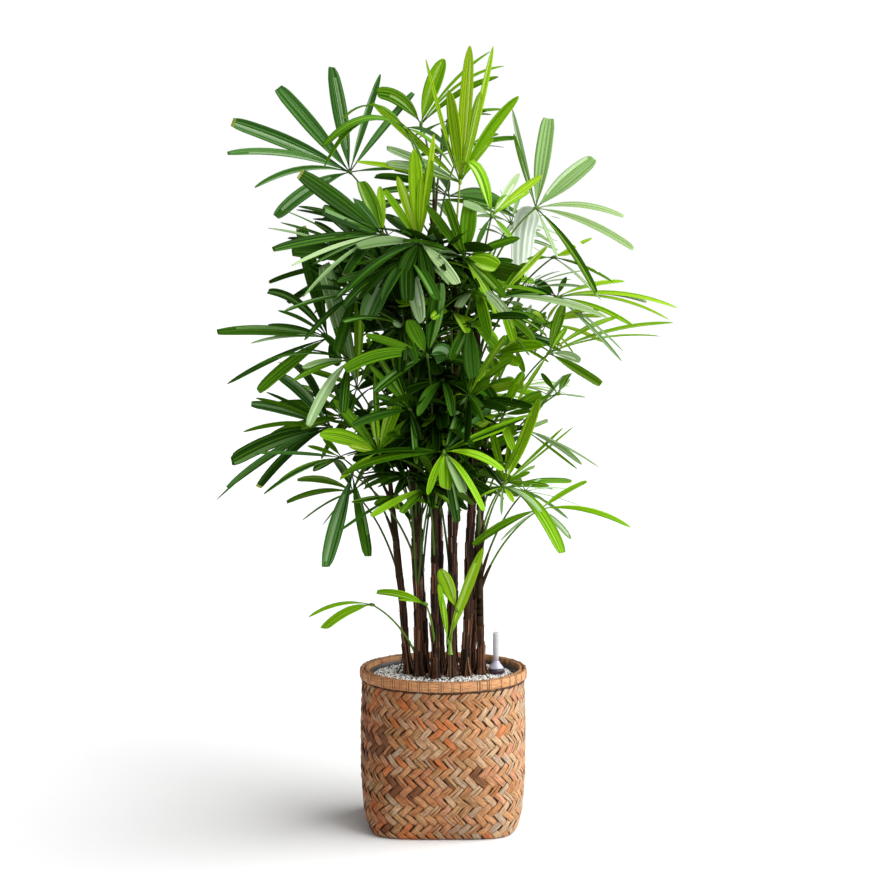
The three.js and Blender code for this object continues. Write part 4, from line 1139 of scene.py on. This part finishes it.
    (8, 960, 10, 165, 240, (5, 15), (285, 45), "grey", [
        (612, 283, 3, 0.5, "mid"), (581, 265, 3, 0.2, "deep"), (577, 250, 8, 0.1, "bright"),
        (592, 238, 4, 0.1, "bright"), (527, 259, 4, 0.2, "mid"), (600, 300, 3, 0.5),
    ]),
    (9, 700, 345, 165, 215, (350, 10), (280, 42), "fresh", [
        (569, 373, 8, 0.3, "mid"), (570, 379, 4, 0.3, "pale"), (523, 408, 7, 0.3, "mid"),
        (540, 374, 5, 0.2, "mid"), (585, 398, 3, 0.2, "grey"),
    ]),
    (8, 760, 320, 74, 114, (350, 35), (280, 30), "deep", [
        (484, 386, 12, 0.2), (517, 384, 7, 0.1, "fresh"), (522, 372, 9, 0.1, "fresh"),
        (541, 392, 8, 0.2, "mid"), (474, 428, 9, 0.4, "fresh"), (512, 450, 8, 0.3, "fresh"),
        (531, 412, 5, 0.2, "mid"),
    ]),
    (9, 640, 330, 110, 200, (340, 15), (285, 45), "fresh", [
        (581, 465, 6, 0.5, "grey"), (548, 421, 8, 0.2, "pale"), (568, 375, 9, 0.4, "grey"),
        (598, 468, 2, 0.3, "pale"), (576, 470, 2.5, 0.1), (537, 418, 3, 0.1, "pale"),
        (508, 470, 9, 0.3), (486, 448, 9, 0.3, "mid"),
    ]),
    (10, 600, 312, 77, 134, (355, 30), (275, 40), "fresh", [
        (542, 399, 15, 0.05, "bright"), (563, 428, 3, 0.05), (574, 428, 3, 0.05),
        (550, 484, 3.5, 0.2, "mid"), (530, 472, 4.5, 0.2), (522, 482, 6, 0.2, "mid"),
        (491, 430, 8, 0.1), (512, 418, 7, 0.1, "bright"),
    ]),
    (10, 560, 298, 100, 169, (320, 0), (295, 55), "fresh", [
        (561, 553, 13, 1.8), (541, 512, 6, 0.7, "grey"), (514, 502, 5, 0.3, "bright"),
        (480, 497, 6, 0.4), (500, 515, 3, 0.4, "grey"),
    ]),
    (10, 500, 350, 128, 175, (345, 4), (275, 40), "fresh", [
        (586, 480, 9, 0.2), (631, 526, 6, 0.7), (571, 539, 6, 0.5, "grey"),
        (473, 545, 9, 0.5, "mid"), (500, 540, 2.5, 0.4, "grey"),
    ]),
]
# The back of the crown: the cane, the height, the heading and the size of the leaflets.
backFronds = [
    (7, 1120, 142, 1), (7, 1060, 35, 0.7), (7, 1000, 100, 1), (5, 1270, 75, 0.7),
    (3, 1050, 120, 1), (8, 1090, 60, 0.7), (9, 820, 70, 0.7), (3, 960, 150, 1),
    (7, 900, 70, 0.8), (6, 950, 20, 0.7), (5, 880, 110, 1), (9, 700, 50, 0.7), (7, 820, 125, 1),
    (3, 800, 105, 1), (2, 700, 165, 1), (9, 640, 85, 1), (7, 720, 50, 0.8), (1, 520, 150, 0.85),
    (5, 700, 90, 1), (7, 620, 115, 1), (3, 660, 140, 1), (10, 520, 40, 0.7), (9, 540, 60, 0.8),
    (5, 560, 100, 1), (8, 860, 10, 0.7), (6, 1150, 95, 1), (3, 1160, 70, 1), (5, 1210, 60, 0.7),
]
leafTones = {
    # The upper side in four shades: its own colour, a lit and a dim copy that are painted light and
    # painted shade, and a painted highlight; then the underside and the ribs. The shade tone is painted
    # shade for the crown's inside, and the grey, blue, pale and white tones carry a painted sheen: the
    # sky's grey-blue reflection and the glare of the light from the right.
    "shade": ((20, 46, 2), (32, 62, 5), (12, 31, 1), (48, 82, 20), (38, 68, 6), (42, 74, 12)),
    "deep": ((36, 74, 3), (54, 98, 8), (21, 52, 1), (84, 126, 48), (62, 98, 12), (72, 114, 28)),
    "blue": ((60, 106, 38), (84, 130, 62), (44, 86, 26), (124, 158, 106), (92, 130, 56),
        (110, 150, 88)),
    "grey": ((126, 156, 100), (150, 178, 128), (100, 134, 74), (182, 204, 166), (142, 170, 114),
        (168, 194, 150)),
    "mid": ((74, 120, 5), (92, 138, 14), (52, 96, 2), (116, 156, 44), (94, 134, 22), (104, 148, 28)),
    "fresh": ((110, 162, 8), (128, 176, 22), (86, 134, 3), (146, 186, 60), (126, 162, 28),
        (138, 178, 38)),
    "bright": ((128, 174, 16), (146, 188, 32), (106, 150, 8), (162, 196, 70), (140, 178, 40),
        (158, 192, 54)),
    "young": ((128, 166, 12), (146, 180, 28), (106, 148, 5), (160, 190, 62), (136, 170, 28),
        (162, 188, 54)),
    "pale": ((154, 182, 124), (168, 194, 142), (136, 166, 102), (184, 204, 164), (150, 178, 114),
        (170, 194, 146)),
    "sage": ((104, 140, 70), (122, 156, 92), (84, 120, 54), (152, 180, 126), (118, 150, 84),
        (134, 166, 106)),
    "white": ((244, 252, 244), (248, 254, 248), (232, 244, 230), (252, 255, 252), (236, 246, 232),
        (250, 254, 250)),
}
leafLook = {
    "lift": 0.06,
    "narrow": 14,  # mm; leaflets under this have two ribs and fine tips
    "broad": 25,  # leaflets from this on have four ribs
    "hanging": 3,  # the droop from which a leaflet is widest near its root
    "shares": [0, 0.05, 0.11, 0.18, 0.26, 0.35, 0.45, 0.55, 0.65, 0.74, 0.82, 0.89, 0.94, 0.975, 1],
    "rootDistance": 3,  # from the hub's centre
    "hubApart": 6,  # how far the hub may lie from the solid of its node
    "hubRadius": 10,
    "thickness": 0.5,
    "foldAtRoot": 56,  # degrees, each side
    "foldAtTip": 9,
    "pleat": 0.085,  # of the width
    "roll": 24,  # degrees, at the tip
    "innerRoll": 50,
    "sideBend": 0.045,  # of the length
    "fuller": (1.1, 1.25),  # how much wider the leaflets and the dark ones are
    "paintedHighlights": 0.45,  # share of the leaflets
    "yellowTips": 0.04,  # share of the leaflets
    "dryTips": 0.02,
    "tipColours": ((132, 142, 40), (104, 88, 40)),
}
stalkLook = {"sides": 8, "stations": 18, "baseRadius": 2.5, "tipRadius": 1.7, "clasp": 75}
backLook = {  # fronds of the crown's back
    "blade": (170, 235),
    "width": (18, 26),
    "paleWidth": 0.7,  # of the pale and grey ones
    "spread": (80, 105),  # degrees, each side
    "reach": (100, 165),
    "rise": (150, 225),
    "shorter": 0.28,  # the outermost leaflets
    "slimmer": 0.35,
    "lengths": (0.9, 1.06),
    "widths": (0.7, 1.25),
    "jitter": 5,  # degrees
}
innerLook = {  # short fronds that fill the inside of the crown
    "count": 90,
    "canes": (5, 3, 6, 4, 2, 7, 2, 5, 3, 8, 5, 6, 3, 7),  # taken in turn
    "heights": (0.28, 0.84),  # share of the way from the granules to the cane's tip
    "lowest": 620,
    "highest": 1050,
    "lowStalk": 170,  # how much lower every fourth stalk leaves its cane
    "lightCanes": 6,  # canes after this one have lighter fronds
    "lightHeight": 1230,  # and the others from this height on
    "lightSooner": {6: 1040},  # or from a lower one
    "reach": (20, 80),
    "rise": (80, 170),
    "blade": (110, 165),
    "width": (20, 32),
    "spread": (75, 110),
    "shorter": 0.25,
    "slimmer": 0,
    "lengths": (0.85, 1.1),
    "widths": (0.6, 1.1),
    "jitter": 6,
}
bows = [0, 12, -12, 24, -24, 36, -36, 50, -50]
leafletPoses = [  # the turn, the lift and the size that keep a leaflet clear of its neighbours
    (0, 0.06, 1), (0.2, 0.1, 1), (-0.2, 0.02, 1), (0, 0.2, 1), (0, -0.1, 1), (0.2, -0.05, 1),
    (-0.2, 0.16, 1), (0, 0.35, 0.95), (0, -0.25, 0.95), (0, 0.06, 0.8), (0.2, 0.2, 0.8),
    (-0.2, 0.2, 0.8), (0, 0.5, 0.8), (0, -0.4, 0.8),
]


def sideTone(cane, heading, index):
    # Darker greens at the left and inside, and lighter ones towards the right: partly the leaves' own
    # colours, partly painted shade at the left and inside and painted light at the right.
    canePlace = canePoint(cane, canes[cane - 1][1][2])[0]
    place = canePlace + 120 * math.cos(math.radians(heading))
    if place < -20:
        return ("deep", "shade", "mid")[index % 3]
    if place < 90:
        return ("mid", "deep", "fresh", "mid")[index % 4]
    return ("fresh", "grey", "mid", "pale")[index % 4]


def evenFan(between, blade, width, spread, look):
    # Seven leaflets spread evenly, the outer ones shorter and slimmer.
    fan = []
    for i in range(7):
        u = i / 3 - 1
        length = blade * (1 - look["shorter"] * u * u) * between(*look["lengths"])
        angle = spread * u + between(-look["jitter"], look["jitter"])
        slim = width * (1 - look["slimmer"] * u * u)
        fan.append((angle, length, slim * between(*look["widths"])))
    return fan


def ruledFrond(row, index):
    # A back frond: an arching stalk and an even fan, whose outer leaflets are shorter.
    cane, at, heading, size = row
    between = seeded(index + 1)
    tone = sideTone(cane, heading, index)
    look = backLook
    wide = look["paleWidth"] if tone in ("grey", "pale") else 1
    blade, width = between(*look["blade"]) * size, between(*look["width"]) * wide * size
    fan = evenFan(between, blade, width, between(*look["spread"]), look)
    reach, rise = between(*look["reach"]), between(*look["rise"])
    axis = (heading + between(-15, 15), between(0, 35))
    face = (heading + between(-40, 40), between(45, 75))
    droop = between(0.35, 0.6)
    return (cane, at, heading, reach, rise, axis, face, droop, tone, fan)


def innerFrond(index):
    # A frond of the dark inside, by the same rule as those of the back but smaller.
    look = innerLook
    between = seeded(300 + index)
    cane = look["canes"][index % len(look["canes"])]
    top = canes[cane - 1][1][2]
    at = ground + (top - ground) * between(*look["heights"])
    at = min(max(at, look["lowest"] + between(0, 60)), look["highest"])
    lower = look["lowStalk"] if index % 4 == 0 else 0
    heading = between(0, 360)
    blade, width = between(*look["blade"]), between(*look["width"])
    fan = evenFan(between, blade, width, between(*look["spread"]), look)
    reach, rise = between(*look["reach"]), between(*look["rise"])
    axis = (heading + between(-20, 20), between(-15, 35))
    face = (heading + between(-50, 50), between(40, 75))
    # Low fronds of the left and middle canes take the deep and shade tones, painted shade of the
    # crown's inside; the high ones and those of the right canes take plain greens.
    lightHeight = look["lightSooner"].get(cane, look["lightHeight"])
    light = cane > look["lightCanes"] or at + rise > lightHeight
    tone = (("mid", "fresh", "deep") if light else ("deep", "shade", "shade"))[index % 3]
    path = (cane, at - lower, heading, reach, rise + lower)
    return (*path, axis, face, between(0.4, 0.8), tone, fan)


def stalkPath(frond, bow, count):
    # A quadratic Bezier curve from the cane to the hub, which starts up the cane.
    cane, at, heading, reach, rise = frond[:5]
    t = np.linspace(0, 1, count)[:, None]
    start = canePoint(cane, at)
    out = direction(heading, 0)
    side = direction(heading + 90, 0)
    middle = start + out * 0.35 * reach + up * 0.7 * rise + side * bow
    end = start + out * reach + up * rise
    return start * (1 - t) ** 2 + middle * 2 * t * (1 - t) + end * t**2


def fanAxes(frond):
    # The fan's own frame: its axis, the way across and the normal of its upper face.
    axis, face = direction(*frond[5]), direction(*frond[6])
    normal = unit(face - axis * (face @ axis))
    return axis, np.cross(normal, axis), normal


def leafletPath(centre, axes, leaflet, shares):
    # Points along a leaflet that droops more and more, its headings and its ways across.
    angle, length, _, droop, lift, _ = leaflet
    axis, across, normal = axes
    a = math.radians(angle)
    ahead = unit(axis * math.cos(a) + across * math.sin(a) + normal * lift)
    side = np.cross(ahead, normal)
    middle = (shares[1:] + shares[:-1]) / 2
    span = length - leafLook["hubRadius"]
    steps = unit(ahead - up * droop * middle[:, None]) * span * np.diff(shares)[:, None]
    start = centre + ahead * (leafLook["hubRadius"] + shares[0] * span)
    points = start + np.vstack([np.zeros(3), np.cumsum(steps, 0)])
    heading = unit(ahead - up * droop * shares[:, None])
    w = unit(side - heading * (heading @ side)[:, None])
    return points, heading, w


def viewRay(x, y):
    # The direction from the camera through a place in the front view.
    focal = cameraLook["across"] * cameraLook["lens"] / cameraLook["sensor"]
    right = (x - cameraLook["across"] / 2) / focal
    rise = (cameraLook["across"] / 2 - y) / focal
    tilt = math.radians(cameraLook["downwards"])
    c, s = math.cos(tilt), math.sin(tilt)
    return unit(np.array([right, c + rise * s, rise * c - s]))


aimLook = {
    "step": 0.5,  # degrees
    "spans": (30, 320),
    "near": 3,  # how far a tip may stay from its place
    "past": 5,  # and from the solids' box
    "lessDroop": 0.7,  # times this, until the tip is near
    "leastDroop": 0.05,
}


def aimed(centre, axes, x, y, droop):
    # The angle and the length that bring a leaflet's tip to a place in the front view, with less
    # droop where it can't be reached. With one angle the tip moves on a line as the leaflet
    # grows, so the best length is where that line passes nearest to the view's ray.
    look = aimLook
    angles = np.arange(-180, 180, look["step"])
    a = np.radians(angles)[:, None]
    axis, across, normal = axes
    ahead = unit(axis * np.cos(a) + across * np.sin(a) + normal * leafLook["lift"])
    shares = np.array(leafLook["shares"])
    middle = ((shares[1:] + shares[:-1]) / 2)[:, None]
    ray = viewRay(x, y)
    start = centre + ahead * leafLook["hubRadius"] - np.array(cameraLook["location"])
    off = np.cross(start, ray)
    while True:
        way = (unit(ahead[:, None] - up * droop * middle) * np.diff(shares)[:, None]).sum(1)
        move = np.cross(way, ray)
        span = np.clip(-(off * move).sum(-1) / (move**2).sum(-1), *look["spans"])
        miss = np.linalg.norm(off + move * span[:, None], axis=-1)
        tip = centre + ahead * leafLook["hubRadius"] + way * span[:, None]
        outside = np.maximum(cadBox[0] - tip, 0) + np.maximum(tip - cadBox[1], 0)
        best = np.argmin(10 * miss + span + 10 * outside.sum(-1))
        near = miss[best] < look["near"] and outside[best].max() < look["past"]
        if near or droop < look["leastDroop"]:
            return angles[best], span[best] + leafLook["hubRadius"], droop
        droop *= look["lessDroop"]


def aimedFrond(row):
    # A frond whose leaflets are given by the places of their tips in the front view.
    tone = row[7]
    frond = (*row[:7], 0.4, tone)
    centre, axes = stalkPath(frond, 0, 2)[1], fanAxes(frond)
    fan = []
    for x, y, width, droop, *own in row[8]:
        leafTone = own[0] if own else tone
        fuller = leafLook["fuller"][leafTone in ("deep", "shade") and width > 6]
        angle, length, droop = aimed(centre, axes, x, y, droop)
        fan.append((angle, length, width * fuller * cameraLook["unit"], droop, leafTone))
    return (*frond, fan)


def nodeTree(name):
    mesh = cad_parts[name].data
    corners = [vertex.co for vertex in mesh.vertices]
    return BVHTree.FromPolygons(corners, [polygon.vertices[:] for polygon in mesh.polygons])


def distanceTo(tree, point):
    return tree.find_nearest(Vector(point * millimetre))[3] / millimetre


def ownLeaflets(frond):
    # The frond's leaflets with their own droop and tone, or the frond's.
    found = []
    for angle, length, width, *own in frond[9]:
        droop = own[0] if own else frond[7]
        tone = own[1] if len(own) > 1 else frond[8]
        found.append((angle, length, width, droop, leafLook["lift"], tone))
    return found


def posed(frond, leaflet, centre, axes, tree):
    # The leaflet in the pose in which it stands in the frame.
    angle, length, width, droop, _, tone = leaflet
    spacing = min(40, *[abs(row[0] - angle) for row in frond[9] if row[0] != angle])
    stations = np.array([0, 0.5, 1] if width < 23 else [0, 0.32, 0.66, 1])
    choices = []
    for aside, lift, size in leafletPoses:
        choice = (angle + aside * spacing, length * size, width, droop, lift, tone)
        tip = leafletPath(centre, axes, choice, stations)[0][-1]
        choices.append((distanceTo(tree, tip), choice))
    best = min(choices, key=lambda choice: choice[0])
    return best[1] if best[0] < 5 else choices[0][1]


def placedFronds():
    # Every frond with its node, its stalk's bow and its leaflets as they stand in the frame.
    found = []
    singles = [0] * len(canes)
    trees = {}
    chosen = [aimedFrond(row) for row in fronds]
    for frond in chosen + [ruledFrond(row, index) for index, row in enumerate(backFronds)]:
        cane, at = frond[:2]
        inCrown = at > canes[cane - 1][2]
        # Two rows in a row with one stalk are one frond, whose leaflets lie in two planes.
        again = bool(found) and found[-1][1][:5] == frond[:5]
        count = singles[cane - 1] + (not again)
        name = "crown_%d" % cane if inCrown else "frond_%d_%d" % (cane, count)
        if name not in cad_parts:
            continue
        if name not in trees:
            trees[name] = nodeTree(name)
        tree = trees[name]
        centre = stalkPath(frond, 0, 2)[1]
        if distanceTo(tree, centre) > leafLook["hubApart"]:
            continue
        singles[cane - 1] += not (inCrown or again)
        bow = min(bows, key=lambda value: distanceTo(tree, stalkPath(frond, value, 3)[1]))
        axes = fanAxes(frond)
        leaflets = ownLeaflets(frond)
        if frond not in chosen:
            leaflets = [posed(frond, leaflet, centre, axes, tree) for leaflet in leaflets]
        rolled = leafLook["roll" if frond in chosen else "innerRoll"]
        found.append((name, frond, bow, axes, centre, leaflets, rolled))
    for index in range(innerLook["count"]):
        frond = innerFrond(index)
        centre = stalkPath(frond, 0, 2)[1]
        name = "crown_%d" % frond[0]
        leaflets = ownLeaflets(frond)
        found.append((name, frond, 0, fanAxes(frond), centre, leaflets, leafLook["innerRoll"]))
    return found


def addLeaflet(heap, centre, axes, leaflet, between, rolled):
    # A pleated blade: folded to a V at its root and nearly flat at its blunt tip. Its section goes
    # along the underside from +1 to -1 and back along the top.
    _, length, width, droop, _, tone = leaflet
    look = leafLook
    shares = np.array(look["shares"])
    span = length - look["hubRadius"]
    first = (look["rootDistance"] - look["hubRadius"]) / span
    shares = np.concatenate([[first], shares])
    points, heading, w = leafletPath(centre, axes, leaflet, shares)
    s = np.clip(shares, 0, 1)[:, None]
    narrow = width < look["narrow"]
    ribs = 2 if narrow else 3 if width < look["broad"] else 4
    v = np.linspace(1, -1, 4 * ribs + 1)[None, :]
    # Full width at 0.6 of the length, or sooner where it hangs, then a blunt or a fine tip.
    rise = 1 - (1 - np.minimum(s / (0.25 if droop > look["hanging"] else 0.6), 1)) ** 2
    pointed = narrow or tone in ("young", "bright") or between(0, 1) < 0.3
    fall = 1 - (0.55 if pointed else between(0.08, 0.4)) * (np.maximum(s - 0.6, 0) / 0.4) ** 2
    cut = 0.95 if pointed else between(0.55, 0.88)
    blunt = np.sqrt(1 - (np.maximum(s - 0.88, 0) / 0.12 * cut) ** 2)
    half = np.maximum(width / 2 * rise * fall * blunt, 1.3 * (s < 0.3))
    fold = look["foldAtTip"] + (look["foldAtRoot"] - look["foldAtTip"]) * np.exp(-s / 0.16)
    pleat = look["pleat"] * half * np.minimum(1, s / 0.1) * (1 - 0.4 * s)
    height = half * np.tan(np.radians(fold)) * (np.abs(v) - 1) - pleat * np.cos(math.pi * ribs * v)
    roll = math.radians(between(-rolled, rolled)) * np.minimum(1, s / 0.5)
    bend = between(-look["sideBend"], look["sideBend"]) * length * s**2
    n = np.cross(w, heading)
    across = w * np.cos(roll) + n * np.sin(roll)
    outwards = n * np.cos(roll) - w * np.sin(roll)
    # The tip's teeth: each rib ends a little further on than the folds between them, on a slant.
    slant = between(-0.35, 0.35)
    teeth = half * (0.05 * np.cos(math.pi * ribs * v) + slant * v) * (s > 0.97)
    top = (
        (points + w * bend)[:, None]
        + across[:, None] * (half * v)[..., None]
        + outwards[:, None] * height[..., None]
        + heading[:, None] * teeth[..., None]
    )
    under = top - outwards[:, None] * look["thickness"]
    rings = np.concatenate([under, top[:, ::-1]], 1)
    rows, columns = rings.shape[:2]
    side = v.shape[1]
    k = np.arange(side - 1)
    end = np.stack([k, k + 1, columns - 2 - k, columns - 1 - k], -1)
    caps = np.vstack([end[:, ::-1], end + (rows - 1) * columns])
    # Tones: the underside, and the upper side in streaks along the pleats, of its own colour and
    # painted lit and shaded copies, with a band of painted highlight on some.
    base = 6 * list(leafTones).index(tone)
    # Each leaflet takes its own colour or a painted lit or painted shaded copy of it.
    shade = int(between(0, 2.999))
    tones = np.full((rows - 1, columns), base + shade)
    tones[:, : side - 1] = base + 4
    streaks = [int(between(0, 2.999)) if between(0, 1) < 0.6 else shade for _ in range(4 * ribs)]
    tones[:, side : side + 4 * ribs] = base + np.array(streaks)
    # Some leaflets get a band of painted highlight along their pleats.
    if between(0, 1) < look["paintedHighlights"]:
        start = side + int(between(0, 3 * ribs))
        tones[int(between(2, 5)) : int(between(10, rows)), start : start + ribs] = base + 3
    if between(0, 1) < (0.6 if tone in ("young", "blue") else 0.25) and not narrow:
        tones[1:-1, side + 2 * ribs] = base + 5
    # The first rows by the root take the dim tone: painted shade by the hub.
    tones[:2] = base + 2
    worn = between(0, 1)
    tips = 6 * len(leafTones)
    if worn < look["dryTips"]:
        tones[-1:] = tips + 1
    elif worn < look["dryTips"] + look["yellowTips"]:
        tones[-1:] = tips
    capTones = np.concatenate([np.full(side - 1, base), np.full(side - 1, tones[-1, 0])])
    faces = np.vstack([gridFaces(rows, columns, wrap=True), caps])
    heap.add(rings, faces, tone=np.concatenate([tones.ravel(), capTones]))


def makeLeaves(placed):
    # The leaflets of each cane in one piece, which takes the place of its crown and fronds.
    materials = []
    for tone, colours in leafTones.items():
        for part, colour in zip(("Top", "Lit", "Dim", "GlossAndPaintedHighlight", "Under", "Rib"), colours):
            # Lit and Dim are painted light and painted shade; the glossy part's colour is a painted
            # highlight, its specular real gloss.
            specular = 0.4 if part == "GlossAndPaintedHighlight" else 0.02 if tone == "shade" else 0.06
            materials.append(plainMaterial("leaf_" + tone + part, colour, 0.4, specular))
    for part, colour in zip(("yellowTip", "dryTip"), leafLook["tipColours"]):
        materials.append(plainMaterial("leaf_" + part, colour, 0.6))
    for number in range(1, len(canes) + 1):
        heap = Heap()
        between = seeded(100 + number)
        names = set()
        for name, frond, _, axes, centre, leaflets, rolled in placed:
            if frond[0] != number:
                continue
            names.add(name)
            for leaflet in leaflets:
                addLeaflet(heap, centre, axes, leaflet, between, rolled)
        makePiece("leaves_%d" % number, heap, materials, "leaf", sorted(names))


def makeStalks(placed):
    # Each frond's stalk, the knob that its leaflets spring from, and the brown base that clasps the
    # cane.
    heap = Heap()
    look = stalkLook
    last = None
    for _, frond, bow, axes, centre, _, _ in placed:
        if frond[:5] == last:
            continue
        last = frond[:5]
        cane, at = frond[:2]
        tone = {"fresh": 1, "bright": 1, "pale": 1, "young": 2}.get(frond[8], 0)
        path = stalkPath(frond, bow, look["stations"])
        radii = np.linspace(look["baseRadius"], look["tipRadius"], look["stations"])
        heap.add(*tube(path, radii, look["sides"]), tone=tone)
        knob = centre + axes[0] * np.array([-6, -4, -1, 2, 5, 7])[:, None]
        heap.add(*tube(knob, [1.8, 2.9, 3.6, 3.9, 3.0, 1.2], 8), tone=tone)
        bare = canes[cane - 1][2]
        if at < bare or cane == len(canes):
            continue
        heights = np.linspace(at - look["clasp"], at, 6)[:-1]
        clasp = np.vstack([canePoint(cane, heights), path[:5]])
        tip = canes[cane - 1][1][2]
        above = np.clip((heights - bare) / (tip - bare), 0, 1)
        wide = caneRadius(cane, np.minimum(heights, bare)) * (1 - above) + 2.5 * above + 0.5
        joined = np.concatenate([wide, np.linspace(wide[-1] * 0.72, radii[4] + 0.3, 5)])
        heap.add(*tube(clasp, joined, 14), tone=3)
    materials = [
        plainMaterial("stalk_deep", (60, 88, 22), 0.5, 0.2),
        plainMaterial("stalk_fresh", (88, 122, 28), 0.5, 0.2),
        plainMaterial("stalk_young", (136, 164, 44), 0.5, 0.2),
        plainMaterial("stalk_clasp", (50, 38, 20), 0.8, 0.1),
    ]
    return makePiece("stalks", heap, materials, "leaf")


sheathLook = {"sides": 20, "rows": 40, "greenFrom": 0.55, "tipRadius": 2.5}


def makeSheaths():
    # The green-brown sheath above each bare cane, which narrows to its tip in ridges.
    heap = Heap()
    sides, rows = sheathLook["sides"], sheathLook["rows"]
    for number, (_, tip, bare, _) in enumerate(canes, 1):
        z = np.linspace(bare + 0.3, tip[2], rows)
        share = np.linspace(0, 1, rows)[:, None]
        angle = np.arange(sides)[None, :] / sides * turn
        wave = 0.5 * np.cos(6 * angle + 9 * share) + 0.6 * np.sin(share * 34 + angle)
        radius = caneRadius(number, bare) * (1 - share) + sheathLook["tipRadius"] * share
        radius = radius + wave * (1 - share) * 0.8
        rings = canePoint(number, z)[:, None] + circle(angle) * radius[..., None]
        points, quads, ends = capped(rings)
        level = np.repeat(np.where(share[:-1, 0] < sheathLook["greenFrom"], 0, 1), sides)
        heap.add(points, quads, ends, tone=2 if number == len(canes) else level)
    ribbed = {"Scale": 300.0, "Strength": 0.4, "Stretch": (1, 1, 0.1)}
    brown = makeMaterial("sheath", mottle, (50, 36, 20), 0.8, 0.8, ribbed, 0.3)
    green = plainMaterial("sheath_shoot", (112, 150, 40), 0.5)
    ribbed["Strength"] = 0.3
    olive = makeMaterial("sheathHigh", mottle, (66, 88, 32), 0.7, 0.5, ribbed, 0.3)
    return makePiece("sheaths", heap, [brown, olive, green], "leaf")


def makeShoot():
    # The young shoot's stem, smooth and brown.
    number = len(canes)
    z = np.linspace(ground + 0.3, canes[-1][2], 12)
    heap = Heap()
    heap.add(*tube(canePoint(number, z), 2.3 + 0.4 * np.sin((z - ground) / 16), 20))
    ribbed = {"Scale": 200.0, "Strength": 0.3, "Stretch": (1, 1, 0.1)}
    brown = makeMaterial("shoot", mottle, (76, 56, 32), 0.7, 0.5, ribbed, 0.4)
    return makePiece("shootStem", heap, [brown], "cane", ["cane_%d" % number])


placed = placedFronds()
print("fronds: %d, leaflets: %d" % (len(placed), sum(len(row[5]) for row in placed)))
makeLeaves(placed)
makeStalks(placed)
makeSheaths()
makeShoot()

# The stage: a pale floor, a white world, a soft sun from the upper right, and the camera.
stageLook = {
    "floorHalf": 30.0,  # metres
    "floorColour": (226, 226, 226),
    "worldSeen": 1.0,
    "worldLight": 0.36,
    "suns": [  # strength, softness in degrees, and where it comes from
        (5.3, 80, (1.0, -0.1, 0.78)),
        (0.9, 40, (0.6, -1.0, 0.9)),
    ],
}


def makeFloor():
    half = stageLook["floorHalf"]
    mesh = bpy.data.meshes.new("floor")
    corners = [(-half, -half, 0), (half, -half, 0), (half, half, 0), (-half, half, 0)]
    mesh.from_pydata(corners, [], [(0, 1, 2, 3)])
    mesh.materials.append(plainMaterial("floorPale", stageLook["floorColour"], 0.9, 0.1))
    floor = bpy.data.objects.new("floor", mesh)
    scene.collection.objects.link(floor)


def makeWorld():
    # White where the camera sees it, and softer as a light.
    world = bpy.data.worlds.new("studio")
    world.use_nodes = True
    tree = world.node_tree
    background = tree.nodes["Background"]
    background.inputs["Color"].default_value = (1, 1, 1, 1)
    seen = addNode(tree, "ShaderNodeLightPath").outputs["Is Camera Ray"]
    strength = addNode(
        tree,
        "ShaderNodeMapRange",
        {0: seen, 3: stageLook["worldLight"], 4: stageLook["worldSeen"]},
    ).outputs[0]
    tree.links.new(strength, background.inputs["Strength"])
    scene.world = world


def makeSuns():
    for strength, softness, place in stageLook["suns"]:
        light = bpy.data.lights.new("sun", "SUN")
        light.energy = strength
        light.angle = math.radians(softness)
        sun = bpy.data.objects.new("sun", light)
        sun.rotation_euler = Vector(place).to_track_quat("Z", "Y").to_euler()
        sun.location = Vector(place) * 2
        scene.collection.objects.link(sun)


def makeCamera():
    data = bpy.data.cameras.new("camera")
    data.sensor_width = cameraLook["sensor"]
    data.lens = cameraLook["lens"]
    data.dof.use_dof = False
    camera = bpy.data.objects.new("camera", data)
    camera.location = Vector(cameraLook["location"]) * millimetre
    camera.rotation_euler = (math.radians(90 - cameraLook["downwards"]), 0, 0)
    scene.collection.objects.link(camera)
    scene.camera = camera


makeFloor()
makeWorld()
makeSuns()
makeCamera()
scene.view_settings.view_transform = "Standard"
